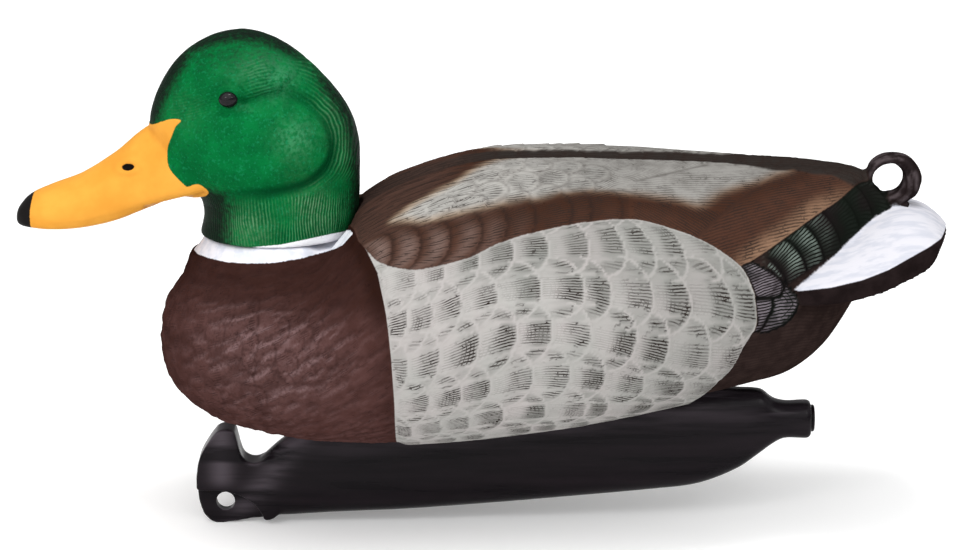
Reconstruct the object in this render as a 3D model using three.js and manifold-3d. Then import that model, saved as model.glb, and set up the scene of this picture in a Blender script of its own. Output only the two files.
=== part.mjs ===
// Floating duck decoy: a hollow blow-moulded body, a hollow swivelling head on a snap-in neck
// joint, and a sand-weighted hollow keel held under the body by two screws.
// Millimetres. +Z up, bill towards -X, tail towards +X, mirror plane Y = 0.
// The origin is under the middle of the decoy, level with the lowest point of the keel.

import * as THREE from 'three';
import { mergeVertices } from 'three/addons/utils/BufferGeometryUtils.js';
import Module from 'manifold-3d';

const wasm = await Module();
wasm.setup();

// ---- Driving dimensions ---------------------------------------------------------------------

const BODY_WALL = 2.4;
const HEAD_WALL = 2.2;
const KEEL_WALL = 2.0;
const PART_GAP = 0.35;

// Tools that cut right through, that overshoot a face, or that sink into what they join.
const THROUGH = 200;
const OVERSHOOT = 5;
const OVERLAP = 1;

// Neck joint: a round spigot on the head snaps through a plate in the top of the body's collar.
const NECK_X = -91.2;
const NECK_Z = 138.0;
const NECK_RADIUS = 32.8;
const COLLAR_BASE_RADIUS = 41;
const COLLAR_HEIGHT = 11;
const COLLAR_WAIST_INSET = 4.6;
const COLLAR_SKIRT_DEPTH = 20;
const COLLAR_SKIRT_FLARE = 3;
const COLLAR_ROOT_DEPTH = 40;
const COLLAR_ROOT_FLARE = 6;
const COLLAR_WALL = 8;
const NECK_SWEEP_RADIUS = 37.4;
const SOCKET_RADIUS = 27.6;
const SOCKET_PLATE = 3;
const SOCKET_WELL_DEPTH = 45;
const SOCKET_WELL_CLEARANCE = 1;
const SPIGOT_RADIUS = 27.2;
const SPIGOT_WALL = 2.5;
const SPIGOT_DEPTH = 7.4;
const SNAP_BEAD = 1.7;
const SNAP_BEAD_HEIGHT = 2.6;
const SNAP_BEAD_RAMP = 1.82;
const SNAP_BEAD_BACK = 0.8;
const SEAT_THICKNESS = 3;
const SEAT_INSET = 1;
const BILL_WALL = 2.8;

// Tail: a crowned fan, and a loop of curled feathers that doubles as a carrying eye.
const FAN_STATIONS = 16;
const FAN_SIDES = 8;
const FAN_UNDERSIDE = 0.95;
const LOOP_X = 185.3;
const LOOP_Z = 162.2;
const LOOP_LENGTH = 25.4;
const LOOP_HEIGHT = 22.8;
const LOOP_WIDTH = 13;
const LOOP_HOLE_X = 182.8;
const LOOP_HOLE_Z = 162.8;
const LOOP_HOLE_RADIUS = 7.0;
const LOOP_CORNERS = 24;
const LOOP_BEVEL = 1.5;

// Eyes: domed studs in round sockets.
const EYE_X = -111.3;
const EYE_Z = 203.7;
const EYE_RADIUS = 4.2;
const EYE_SOCKET_DEPTH = 4;
const EYE_SOCKET_MOUTH = 10;
const EYE_RISE = 0.6;
const EYE_DOME = 1.7;
const EYE_BOSS_RADIUS = 6.8;
const EYE_BOSS_DEPTH = 9;
const EYE_BOSS_PROUD = 2;

// Half section of the eye's dome: [share of the radius, share of the dome's height]
const EYE_DOME_PROFILE = [
  [0.86, 0.45],
  [0.5, 0.85],
  [0, 1],
];

// Keel: tie hole in the pinched front tab, screw posts, and a filling spout at the rear.
const TIE_HOLE_X = -117.7;
const TIE_HOLE_Z = 10.6;
const TIE_HOLE_RADIUS = 4.3;
const TAB_THICKNESS = 5;
const HOOK_THICKNESS = 15;
const HOOK_BEVEL = 2;
const KEEL_SCREW_X = [-52, 82];
const POST_RADIUS = 6.6;
const SCREW_RADIUS = 2;
const SCREW_HEAD_RADIUS = 3.9;
const SCREW_HEAD_HEIGHT = 2.6;
const SCREW_FACE_RADIUS = 2.73;
const SCREW_CROWN_DROP = 1.17;
const SCREW_POINT_LENGTH = 3;
const SCREW_POINT_RADIUS = 0.4;
const SCREW_POINT_CLEARANCE = 1;
const SCREW_RECESS_RADIUS = 4.4;
const SCREW_LAND = 7;
const SCREW_BITE = 10;
const BOSS_RADIUS = 6;
const BOSS_HEIGHT = 14;
const SPOUT_X = 150.6;
const SPOUT_Z = 49.6;
const SPOUT_BORE_RADIUS = 5;
const SPOUT_BORE_LENGTH = 26;
const PLUG_RADIUS = SPOUT_BORE_RADIUS - PART_GAP;
const PLUG_FLANGE_RADIUS = 6.2;
const PLUG_FLANGE = 1.2;
const PLUG_FLANGE_OVERLAP = 0.3;
const PLUG_LENGTH = 12;

// Facets round the turned and bored features, from the largest to the smallest.
const COLLAR_SIDES = 32;
const WIDE_SIDES = 24;
const BORE_SIDES = 20;
const SMALL_SIDES = 16;
const SCREW_SIDES = 12;

// Lofts: rings along the loft, facets round it, and how boxy its upper and lower halves are.
const BODY_LOFT = { count: 32, sides: 32, upper: 2.15, lower: 2.15 };
const BODY_HOLLOW_LOFT = { ...BODY_LOFT, count: 18, sides: 20, inset: BODY_WALL };
const SKULL_LOFT = { count: 20, sides: 28 };
const SKULL_HOLLOW_LOFT = { count: 12, sides: 16, inset: HEAD_WALL };
const BILL_LOFT = { count: 16, sides: 20, lower: 3 };
const BILL_HOLLOW_LOFT = { count: 9, sides: 12, lower: 3, inset: BILL_WALL };
const KEEL_LOFT = { count: 22, sides: 20, upper: 4, lower: 2.6, topPinch: 0.3 };
const KEEL_CAVITY_LOFT = { ...KEEL_LOFT, count: 14, sides: 12 };

// A loft leaves out rings narrower than this, and keeps at least this much rise.
const LOFT_MIN_WIDTH = 0.5;
const LOFT_MIN_RISE = 0.2;
const MERGE_TOLERANCE = 1e-4;
const EYE_SURFACE_ROWS = 200;

// Body rings: [x, top z, bottom z, half width, z of the widest point]
const BODY_RINGS = [
  [-144.8, 92.0, 89.0, 1.0, 90.5],
  [-143.5, 103.5, 78.5, 17.0, 90.5],
  [-139.6, 111.5, 69.5, 31.0, 90.5],
  [-131.6, 120.5, 61.5, 45.0, 91.5],
  [-118.5, 128.5, 54.0, 57.0, 92.5],
  [-100.4, 132.5, 49.0, 67.0, 94.5],
  [-78.4, 133.5, 45.5, 74.0, 97.5],
  [-58.2, 149.0, 44.2, 77.0, 101.5],
  [-36.0, 162.4, 44.0, 78.0, 105.5],
  [0.0, 173.2, 46.5, 78.0, 110.5],
  [36.0, 174.8, 51.3, 77.0, 114.5],
  [66.0, 174.2, 56.6, 73.0, 116.5],
  [92.0, 173.0, 62.0, 65.5, 117.5],
  [116.0, 171.5, 67.2, 57.0, 118.5],
  [138.0, 170.1, 73.0, 48.0, 120.5],
  [154.8, 168.9, 85.0, 34.0, 124.5],
  [167.0, 167.4, 102.0, 21.0, 132.5],
  [176.0, 162.4, 119.5, 12.0, 140.5],
  [184.0, 154.0, 138.4, 7.0, 147.3],
];

// Head rings: [z, front x, back x, half width, x of the widest point]
const HEAD_RINGS = [
  [138.0, -123.9, -58.5, 32.7, -91.2],
  [147.3, -123.8, -55.9, 33.2, -90.6],
  [157.2, -128.2, -54.8, 33.0, -91.4],
  [168.0, -138.9, -54.5, 33.5, -92.2],
  [178.0, -145.8, -54.7, 33.3, -93.1],
  [188.0, -148.5, -56.6, 31.5, -96.0],
  [197.2, -146.9, -61.0, 29.3, -99.7],
  [206.2, -143.0, -67.6, 26.8, -102.5],
  [215.2, -137.2, -76.3, 22.8, -104.3],
  [222.6, -129.3, -85.5, 17.0, -105.7],
  [228.2, -118.4, -96.1, 8.5, -106.6],
  [230.5, -108.0, -105.1, 1.0, -106.5],
];

// Bill rings: [x, top z, bottom z, half width, z of the widest point]
const BILL_RINGS = [
  [-209.5, 146.3, 143.3, 2.0, 144.8],
  [-208.0, 149.8, 141.8, 7.0, 145.0],
  [-203.0, 155.0, 140.8, 12.0, 146.0],
  [-193.0, 159.7, 140.1, 15.3, 147.0],
  [-179.0, 165.1, 141.0, 15.6, 149.0],
  [-164.0, 174.6, 144.2, 15.4, 153.2],
  [-150.8, 185.3, 149.5, 17.0, 159.2],
  [-137.0, 188.0, 154.7, 21.5, 163.1],
  [-117.0, 185.6, 157.2, 24.0, 168.0],
];

// Keel rings: [x, top z, bottom z, half width, z of the widest point]
const KEEL_RINGS = [
  [-105.7, 26.0, 3.2, 4.0, 14.6],
  [-99.6, 32.5, 3.4, 7.6, 17.7],
  [-87.3, 42.5, 4.0, 9.8, 19.8],
  [-67.0, 50.0, 5.4, 11.2, 21.8],
  [-36.6, 50.0, 6.8, 12.0, 23.9],
  [0.0, 52.5, 9.4, 12.0, 28.0],
  [40.5, 57.5, 12.9, 12.0, 32.2],
  [77.0, 63.0, 16.2, 11.6, 38.4],
  [99.0, 64.6, 18.9, 10.8, 43.5],
  [117.0, 64.0, 26.0, 9.6, 46.6],
  [127.8, 63.2, 33.8, 8.6, 49.1],
  [132.9, 59.2, 37.8, 8.3, 49.5],
  [138.4, 57.6, 40.8, 8.2, 49.5],
  [149.4, 57.8, 40.8, 8.4, 49.5],
  [150.6, 56.6, 42.1, 7.2, 49.5],
];

// Side outline of the keel's front hook, which stands over the tie tab: [x, z]
const HOOK_OUTLINE = [
  [-120.4, 45.2],
  [-113.8, 45.4],
  [-112.4, 43.4],
  [-110.2, 34.6],
  [-108.0, 31.2],
  [-103.4, 29.8],
  [-95.3, 32.2],
  [-91.4, 20.8],
  [-93.7, 4.5],
  [-105.9, 1.9],
  [-116.8, 0.1],
  [-122.9, 0.0],
  [-126.9, 2.9],
  [-129.0, 7.3],
  [-130.3, 13.5],
  [-130.6, 22.3],
  [-129.6, 30.1],
  [-127.0, 36.3],
];

// The line where the hollow keel steps in to the thin tie tab: [x, z]
const TAB_STEP = [
  [-137.0, 17.3],
  [-116.7, 16.2],
  [-109.4, 13.7],
  [-104.0, 10.0],
  [-100.2, 4.2],
  [-98.9, -5.0],
  [-137.0, -5.0],
];

// Fan stations: [x, half width, edge z, crown height over the edge, thickness, rim lean]
const FAN_SHAPE = [
  [128.0, 40.0, 121.5, 9.0, 9.0, 0],
  [140.0, 49.5, 123.3, 10.0, 8.6, 0],
  [152.0, 53.3, 125.0, 11.5, 8.8, 0],
  [163.7, 54.2, 127.4, 13.5, 9.4, 0],
  [175.6, 53.6, 131.5, 15.0, 10.2, 0.2],
  [187.4, 51.0, 136.8, 13.6, 10.8, 0.8],
  [196.3, 46.8, 139.7, 10.0, 10.2, 1.6],
  [202.3, 40.0, 141.2, 6.0, 9.2, 2.4],
  [206.5, 25.0, 141.8, 2.2, 7.8, 3.2],
  [208.8, 11.0, 141.9, 0.6, 6.6, 3.6],
  [209.6, 3.0, 141.9, 0.0, 6.0, 3.8],
];

// ---- Curves and lofts -----------------------------------------------------------------------

// Steps a list of rows through a smooth curve, so that `count` rows come out evenly spread
// along the curve's length. Every column of a row is carried along.
function resampleRows(rows, count) {
  const columns = rows[0].length;
  const along = [0];
  for (let i = 1; i < rows.length; i += 1) {
    let sum = 0;
    for (let c = 0; c < columns; c += 1) {
      sum += (rows[i][c] - rows[i - 1][c]) ** 2;
    }
    along.push(along[i - 1] + Math.sqrt(sum));
  }
  const total = along[along.length - 1];
  const slopes = rows.map((row, i) => {
    const low = Math.max(i - 1, 0);
    const high = Math.min(i + 1, rows.length - 1);
    return row.map((_, c) => (rows[high][c] - rows[low][c]) / (along[high] - along[low]));
  });
  const out = [];
  let k = 0;
  for (let n = 0; n < count; n += 1) {
    const s = (total * n) / (count - 1);
    while (k < rows.length - 2 && s > along[k + 1]) {
      k += 1;
    }
    const span = along[k + 1] - along[k];
    const t = (s - along[k]) / span;
    const h00 = (1 + 2 * t) * (1 - t) ** 2;
    const h10 = t * (1 - t) ** 2;
    const h01 = t * t * (3 - 2 * t);
    const h11 = t * t * (t - 1);
    out.push(rows[k].map((value, c) => h00 * value + h10 * span * slopes[k][c]
      + h01 * rows[k + 1][c] + h11 * span * slopes[k + 1][c]));
  }
  return out;
}

// A point of a superellipse: `angle` runs round it, `power` 2 is an ellipse, more is boxier.
function superPoint(angle, power) {
  const c = Math.cos(angle);
  const s = Math.sin(angle);
  return [
    Math.sign(c) * Math.abs(c) ** (2 / power),
    Math.sign(s) * Math.abs(s) ** (2 / power),
  ];
}

// Closed surface through rings of points, each ring a list of [x, y, z] of the same length.
function skinRings(rings) {
  const sides = rings[0].length;
  const positions = rings.flat(2);
  const index = [];
  for (let r = 0; r < rings.length - 1; r += 1) {
    for (let i = 0; i < sides; i += 1) {
      const a = r * sides + i;
      const b = r * sides + ((i + 1) % sides);
      index.push(a, b, a + sides);
      index.push(b, b + sides, a + sides);
    }
  }
  for (const [ring, order] of [[0, 1], [rings.length - 1, -1]]) {
    const middle = positions.length / 3;
    const sum = rings[ring].reduce((acc, p) => acc.map((v, c) => v + p[c]), [0, 0, 0]);
    positions.push(...sum.map((v) => v / sides));
    for (let i = 0; i < sides; i += 1) {
      const a = ring * sides + i;
      const b = ring * sides + ((i + 1) % sides);
      if (order > 0) {
        index.push(middle, b, a);
      } else {
        index.push(middle, a, b);
      }
    }
  }
  const geometry = new THREE.BufferGeometry();
  geometry.setAttribute('position', new THREE.Float32BufferAttribute(positions, 3));
  geometry.setIndex(index);
  return solid(geometry);
}

// Loft along X of rows [x, top, bottom, half width, widest], shrunk all round by `inset`.
function loftAlongX(table, { count, sides, upper = 2, lower = 2, topPinch = 0, inset = 0 }) {
  const middle = (table[0][0] + table[table.length - 1][0]) / 2;
  const reach = (table[table.length - 1][0] - table[0][0]) / 2;
  const rows = resampleRows(table, count).filter((row) => row[3] > inset + LOFT_MIN_WIDTH);
  return skinRings(rows.map(([x, top, bottom, half, widest]) => {
    const ring = [];
    for (let i = 0; i < sides; i += 1) {
      const angle = (2 * Math.PI * i) / sides;
      const isUpper = Math.sin(angle) >= 0;
      const [c, s] = superPoint(angle, isUpper ? upper : lower);
      const rise = isUpper ? top - inset - widest : widest - bottom - inset;
      const pinch = isUpper ? 1 - topPinch * s ** 2 : 1;
      ring.push([
        middle + (x - middle) * (1 - inset / reach),
        c * (half - inset) * pinch,
        widest + s * Math.max(rise, LOFT_MIN_RISE),
      ]);
    }
    return ring;
  }));
}

// Loft along Z of rows [z, front x, back x, half width, widest x], shrunk by `inset`.
function loftAlongZ(table, { count, sides, power = 2, inset = 0 }) {
  const rows = resampleRows(table, count).filter((row) => row[3] > inset + LOFT_MIN_WIDTH);
  const top = table[table.length - 1][0];
  return skinRings(rows.map(([z, front, back, half, widest]) => {
    const ring = [];
    for (let i = 0; i < sides; i += 1) {
      const [c, s] = superPoint((2 * Math.PI * i) / sides, power);
      const reach = c >= 0 ? back - widest - inset : widest - front - inset;
      ring.push([
        widest + c * Math.max(reach, LOFT_MIN_RISE),
        s * (half - inset),
        Math.min(z, top - inset),
      ]);
    }
    return ring;
  }));
}

// ---- Solids ---------------------------------------------------------------------------------

// A closed three.js geometry as a manifold solid.
function solid(geometry) {
  const bare = geometry.clone();
  bare.deleteAttribute('normal');
  bare.deleteAttribute('uv');
  const merged = mergeVertices(bare, MERGE_TOLERANCE);
  return new wasm.Manifold(new wasm.Mesh({
    numProp: 3,
    vertProperties: merged.attributes.position.array,
    triVerts: new Uint32Array(merged.index.array),
  }));
}

// Cylinder of radius `r` from z0 to z1 on the vertical through (x, 0).
function post(r, z0, z1, x, sides = SMALL_SIDES) {
  const geometry = new THREE.CylinderGeometry(r, r, z1 - z0, sides);
  geometry.rotateX(Math.PI / 2);
  geometry.translate(x, 0, (z0 + z1) / 2);
  return solid(geometry);
}

// Solid of revolution about the vertical through (x, 0), from [radius, z] points.
function turned(profile, x, sides) {
  const geometry = new THREE.LatheGeometry(profile.map((p) => new THREE.Vector2(...p)), sides);
  geometry.rotateX(Math.PI / 2);
  geometry.translate(x, 0, 0);
  return solid(geometry);
}

// Cylinder across the decoy, or a boss that points along Y, centred at (x, y, z).
function crossPin(r, length, x, y, z, sides = BORE_SIDES) {
  const geometry = new THREE.CylinderGeometry(r, r, length, sides);
  geometry.translate(x, y, z);
  return solid(geometry);
}

// Plate across the mirror plane with a side outline of [x, z] points.
function sidePlate(outline, thickness, bevel = 0) {
  const shape = new THREE.Shape(outline.map((p) => new THREE.Vector2(...p)));
  const geometry = new THREE.ExtrudeGeometry(shape, {
    depth: thickness - 2 * bevel,
    bevelEnabled: bevel > 0,
    bevelThickness: bevel,
    bevelSize: bevel,
    bevelOffset: -bevel,
    bevelSegments: 2,
    steps: 1,
  });
  geometry.translate(0, 0, -(thickness - 2 * bevel) / 2);
  geometry.rotateX(Math.PI / 2);
  return solid(geometry);
}

// Named mesh of a manifold solid.
function part(name, shape, material) {
  const mesh = shape.getMesh();
  const geometry = new THREE.BufferGeometry();
  geometry.setAttribute('position', new THREE.Float32BufferAttribute(mesh.vertProperties, 3));
  geometry.setIndex(Array.from(mesh.triVerts));
  geometry.computeVertexNormals();
  const node = new THREE.Mesh(geometry, material);
  node.name = name;
  return node;
}

function material(color, roughness) {
  return new THREE.MeshStandardMaterial({ color, roughness, metalness: 0 });
}

const MATERIALS = {
  body: material(0x9c9994, 0.6),
  head: material(0x11542b, 0.5),
  eye: material(0x0b0a0c, 0.1),
  keel: material(0x292229, 0.35),
  ballast: material(0xb39a72, 0.95),
  screw: new THREE.MeshStandardMaterial({ color: 0xb9bbbd, roughness: 0.3, metalness: 1 }),
};

// ---- Body -----------------------------------------------------------------------------------

// Tail fan: a crowned plate whose side edges are the lowest.
function tailFan() {
  const rows = resampleRows(FAN_SHAPE, FAN_STATIONS);
  return skinRings(rows.map(([x, half, edge, crown, thickness, lean]) => {
    const ring = [];
    for (let i = 0; i <= FAN_SIDES; i += 1) {
      const across = -1 + (2 * i) / FAN_SIDES;
      ring.push([x, across * half, edge + crown * (1 - across ** 2)]);
    }
    for (let i = FAN_SIDES; i >= 0; i -= 1) {
      const across = -1 + (2 * i) / FAN_SIDES;
      ring.push([x - lean, across * half * FAN_UNDERSIDE, edge + crown * (1 - across ** 2) - thickness]);
    }
    return ring.reverse();
  }));
}

// Tail loop: an upright oval plate; its hole is bored after it joins the body.
function tailLoop() {
  const outline = [];
  for (let i = 0; i < LOOP_CORNERS; i += 1) {
    const angle = (2 * Math.PI * i) / LOOP_CORNERS;
    outline.push([
      LOOP_X + (LOOP_LENGTH / 2) * Math.cos(angle),
      LOOP_Z + (LOOP_HEIGHT / 2) * Math.sin(angle),
    ]);
  }
  return sidePlate(outline, LOOP_WIDTH, LOOP_BEVEL);
}

const bodyHull = loftAlongX(BODY_RINGS, BODY_LOFT);

// Height of the underside of the body on the mirror plane.
function bellyHeight(x) {
  const i = BODY_RINGS.findIndex((ring) => ring[0] >= x);
  const [a, b] = [BODY_RINGS[i - 1], BODY_RINGS[i]];
  return a[2] + ((x - a[0]) / (b[0] - a[0])) * (b[2] - a[2]);
}

// Body: hull, collar, fan and loop in one skin, hollow, with the neck socket and screw bosses.
function bodyShell() {
  const plateTop = NECK_Z - PART_GAP;
  const collarBottom = plateTop - COLLAR_HEIGHT;
  const collar = turned([
    [0, plateTop - COLLAR_ROOT_DEPTH],
    [COLLAR_BASE_RADIUS + COLLAR_ROOT_FLARE, plateTop - COLLAR_ROOT_DEPTH],
    [COLLAR_BASE_RADIUS + COLLAR_SKIRT_FLARE, plateTop - COLLAR_SKIRT_DEPTH],
    [COLLAR_BASE_RADIUS, collarBottom],
    [COLLAR_BASE_RADIUS - COLLAR_WAIST_INSET, (plateTop + collarBottom) / 2],
    [NECK_RADIUS, plateTop],
    [0, plateTop],
  ], NECK_X, COLLAR_SIDES);
  const headClearance = post(NECK_SWEEP_RADIUS, plateTop, plateTop + THROUGH, NECK_X, COLLAR_SIDES);
  const collarCore = post(NECK_RADIUS + COLLAR_WALL, collarBottom, THROUGH, NECK_X, COLLAR_SIDES)
    .add(post(NECK_SWEEP_RADIUS + BODY_WALL, collarBottom, THROUGH, NECK_X, COLLAR_SIDES));
  const hollow = loftAlongX(BODY_RINGS.slice(0, -3), BODY_HOLLOW_LOFT).subtract(collarCore);
  const wellRadius = SPIGOT_RADIUS + SNAP_BEAD + SOCKET_WELL_CLEARANCE;
  const wellBottom = plateTop - SOCKET_WELL_DEPTH;
  const plateBottom = plateTop - SOCKET_PLATE;
  let shell = bodyHull.subtract(headClearance)
    .add(collar)
    .add(tailFan())
    .add(tailLoop())
    .subtract(hollow)
    .subtract(post(wellRadius, wellBottom, plateBottom, NECK_X, WIDE_SIDES))
    .subtract(post(SOCKET_RADIUS, plateBottom - OVERLAP, plateTop + OVERSHOOT, NECK_X, COLLAR_SIDES))
    .subtract(crossPin(LOOP_HOLE_RADIUS, THROUGH, LOOP_HOLE_X, 0, LOOP_HOLE_Z));
  for (const x of KEEL_SCREW_X) {
    const belly = bellyHeight(x);
    const boss = post(BOSS_RADIUS, -THROUGH, belly + BOSS_HEIGHT, x).intersect(bodyHull);
    const screwEnd = belly + SCREW_BITE + SCREW_POINT_CLEARANCE;
    shell = shell.add(boss);
    shell = shell.subtract(post(SCREW_RADIUS + PART_GAP, -THROUGH, screwEnd, x));
  }
  return shell;
}

// ---- Head -----------------------------------------------------------------------------------

// Head: a hollow skull and bill, a seat with a snap spigot under it, and two eye sockets.
function headShell() {
  const skull = loftAlongZ(HEAD_RINGS, SKULL_LOFT);
  const bill = loftAlongX(BILL_RINGS, BILL_LOFT);
  const outer = skull.add(bill);
  const billHollow = loftAlongX(BILL_RINGS, BILL_HOLLOW_LOFT);
  const skullHollow = loftAlongZ(HEAD_RINGS, SKULL_HOLLOW_LOFT);
  const seatFloor = NECK_Z + SEAT_THICKNESS;
  const bottom = NECK_Z - SPIGOT_DEPTH;
  const spigot = turned([
    [0, bottom],
    [SPIGOT_RADIUS, bottom],
    [SPIGOT_RADIUS + SNAP_BEAD, bottom + SNAP_BEAD_RAMP],
    [SPIGOT_RADIUS + SNAP_BEAD, bottom + SNAP_BEAD_HEIGHT],
    [SPIGOT_RADIUS, bottom + SNAP_BEAD_HEIGHT + SNAP_BEAD_BACK],
    [SPIGOT_RADIUS, NECK_Z + OVERLAP],
    [0, NECK_Z + OVERLAP],
  ], NECK_X, COLLAR_SIDES);
  const spigotBore = SPIGOT_RADIUS - SPIGOT_WALL;
  let shell = outer.subtract(skullHollow.add(billHollow))
    .add(post(NECK_RADIUS - SEAT_INSET, NECK_Z, seatFloor, NECK_X, WIDE_SIDES))
    .add(spigot)
    .subtract(post(spigotBore, bottom - OVERLAP, seatFloor + OVERLAP, NECK_X, WIDE_SIDES));
  const surface = eyeSurface();
  const bossLength = EYE_BOSS_DEPTH + EYE_BOSS_PROUD;
  const bossMiddle = surface + (EYE_BOSS_PROUD - EYE_BOSS_DEPTH) / 2;
  const socketLength = EYE_SOCKET_DEPTH + EYE_SOCKET_MOUTH;
  const socketMiddle = surface + (EYE_SOCKET_MOUTH - EYE_SOCKET_DEPTH) / 2;
  for (const side of [-1, 1]) {
    const boss = crossPin(EYE_BOSS_RADIUS, bossLength, EYE_X, side * bossMiddle, EYE_Z)
      .intersect(outer);
    const socket = crossPin(EYE_RADIUS + PART_GAP, socketLength, EYE_X, side * socketMiddle, EYE_Z,
      SMALL_SIDES);
    shell = shell.add(boss).subtract(socket);
  }
  return shell;
}

// Distance of the head's side from the mirror plane at the eye.
function eyeSurface() {
  const rows = resampleRows(HEAD_RINGS, EYE_SURFACE_ROWS);
  const [, front, , half, widest] = rows.find((row) => row[0] >= EYE_Z);
  const along = (EYE_X - widest) / (widest - front);
  return half * Math.sqrt(1 - along ** 2);
}

// Eye: a round stud with a domed face, filling its socket to just past the head's side.
function eye(side) {
  const surface = eyeSurface();
  const stem = EYE_SOCKET_DEPTH - PART_GAP;
  const dome = EYE_DOME_PROFILE.map(([reach, rise]) => [
    EYE_RADIUS * reach,
    stem + EYE_RISE + EYE_DOME * rise,
  ]);
  const profile = [[0, 0], [EYE_RADIUS, 0], [EYE_RADIUS, stem], ...dome];
  const points = profile.map((p) => new THREE.Vector2(...p));
  const geometry = new THREE.LatheGeometry(points, SMALL_SIDES);
  if (side < 0) {
    geometry.rotateX(Math.PI);
  }
  geometry.translate(EYE_X, side * (surface - EYE_SOCKET_DEPTH + PART_GAP), EYE_Z);
  return solid(geometry);
}

// ---- Keel -----------------------------------------------------------------------------------

// The keel as a solid: a long pod with the hook in front, pinched to the tab, cut to the belly.
function keelOutside() {
  const hook = sidePlate(HOOK_OUTLINE, HOOK_THICKNESS, HOOK_BEVEL);
  const besideTab = sidePlate(TAB_STEP, THROUGH).subtract(sidePlate(TAB_STEP, TAB_THICKNESS));
  return loftAlongX(KEEL_RINGS, KEEL_LOFT)
    .add(hook)
    .subtract(besideTab)
    .subtract(bodyHull.translate([0, 0, -PART_GAP]))
    .subtract(crossPin(TIE_HOLE_RADIUS, THROUGH, TIE_HOLE_X, 0, TIE_HOLE_Z, WIDE_SIDES));
}

// The room inside the keel, `inset` in from its outside and clear of the screw posts.
function keelCavity(inset) {
  const postRadius = POST_RADIUS + inset - KEEL_WALL;
  let cavity = loftAlongX(KEEL_RINGS.slice(1, -3), { ...KEEL_CAVITY_LOFT, inset })
    .subtract(bodyHull.translate([0, 0, -PART_GAP - inset]));
  for (const x of KEEL_SCREW_X) {
    cavity = cavity.subtract(post(postRadius, -THROUGH, THROUGH, x, WIDE_SIDES));
  }
  return cavity;
}

// Cylinder along the spout's axis.
function alongSpout(radius, from, to) {
  const geometry = new THREE.CylinderGeometry(radius, radius, to - from, SMALL_SIDES);
  geometry.rotateZ(Math.PI / 2);
  geometry.translate((from + to) / 2, 0, SPOUT_Z);
  return solid(geometry);
}

// The underside of the screw head sits on this land above the keel's recess.
function screwLand(x) {
  return bellyHeight(x) - PART_GAP - SCREW_LAND;
}

function keelShell() {
  const spoutInnerEnd = SPOUT_X - SPOUT_BORE_LENGTH;
  let shell = keelOutside()
    .subtract(keelCavity(KEEL_WALL))
    .subtract(alongSpout(SPOUT_BORE_RADIUS, spoutInnerEnd, SPOUT_X + OVERSHOOT));
  for (const x of KEEL_SCREW_X) {
    shell = shell.subtract(post(SCREW_RECESS_RADIUS, -THROUGH, screwLand(x), x, WIDE_SIDES));
    shell = shell.subtract(post(SCREW_RADIUS + PART_GAP, -THROUGH, THROUGH, x));
  }
  return shell;
}

function keelBallast() {
  return keelCavity(KEEL_WALL + PART_GAP);
}

function fillPlug() {
  const seat = SPOUT_X + PART_GAP;
  return alongSpout(PLUG_RADIUS, SPOUT_X - PLUG_LENGTH, seat + PLUG_FLANGE_OVERLAP)
    .add(alongSpout(PLUG_FLANGE_RADIUS, seat, seat + PLUG_FLANGE));
}

// Pan-headed screw through the keel's post at `x`, its point in the body's boss.
function keelScrew(x) {
  const land = screwLand(x) - PART_GAP;
  const tip = bellyHeight(x) + SCREW_BITE;
  return turned([
    [0, land - SCREW_HEAD_HEIGHT],
    [SCREW_FACE_RADIUS, land - SCREW_HEAD_HEIGHT],
    [SCREW_HEAD_RADIUS, land - SCREW_CROWN_DROP],
    [SCREW_HEAD_RADIUS, land],
    [SCREW_RADIUS, land],
    [SCREW_RADIUS, tip - SCREW_POINT_LENGTH],
    [SCREW_POINT_RADIUS, tip],
    [0, tip],
  ], x, SCREW_SIDES);
}

// ---- Assembly -------------------------------------------------------------------------------

const decoy = new THREE.Group();
decoy.add(part('body_shell', bodyShell(), MATERIALS.body));
decoy.add(part('head_shell', headShell(), MATERIALS.head));
decoy.add(part('left_eye', eye(-1), MATERIALS.eye));
decoy.add(part('right_eye', eye(1), MATERIALS.eye));
decoy.add(part('keel_shell', keelShell(), MATERIALS.keel));
decoy.add(part('keel_ballast', keelBallast(), MATERIALS.ballast));
decoy.add(part('keel_fill_plug', fillPlug(), MATERIALS.keel));
decoy.add(part('keel_screw_front', keelScrew(KEEL_SCREW_X[0]), MATERIALS.screw));
decoy.add(part('keel_screw_rear', keelScrew(KEEL_SCREW_X[1]), MATERIALS.screw));

export default decoy;
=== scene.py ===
# Looks of the floating duck decoy: painted blow-moulded body and head, eyes, keel and fasteners.
# Lengths inside the script are millimetres until a mesh is made, in the frame of the CAD model.
import math

import bmesh
import bpy
import numpy as np
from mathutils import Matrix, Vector


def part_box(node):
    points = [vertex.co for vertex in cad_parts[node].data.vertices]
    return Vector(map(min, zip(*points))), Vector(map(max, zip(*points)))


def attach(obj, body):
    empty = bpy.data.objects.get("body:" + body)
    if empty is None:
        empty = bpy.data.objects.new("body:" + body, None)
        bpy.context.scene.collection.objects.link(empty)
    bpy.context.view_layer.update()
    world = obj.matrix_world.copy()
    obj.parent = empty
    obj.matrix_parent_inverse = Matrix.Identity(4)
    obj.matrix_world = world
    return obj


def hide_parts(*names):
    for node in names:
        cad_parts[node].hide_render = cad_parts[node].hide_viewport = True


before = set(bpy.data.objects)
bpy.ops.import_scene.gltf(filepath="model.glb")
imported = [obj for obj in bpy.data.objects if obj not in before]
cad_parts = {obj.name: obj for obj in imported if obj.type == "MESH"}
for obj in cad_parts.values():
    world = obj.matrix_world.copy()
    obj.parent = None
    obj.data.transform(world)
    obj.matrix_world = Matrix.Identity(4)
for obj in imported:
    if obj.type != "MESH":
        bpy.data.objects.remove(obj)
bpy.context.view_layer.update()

MM = 0.001

# ---- Driving dimensions, as in the CAD part ---------------------------------------------------

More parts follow.
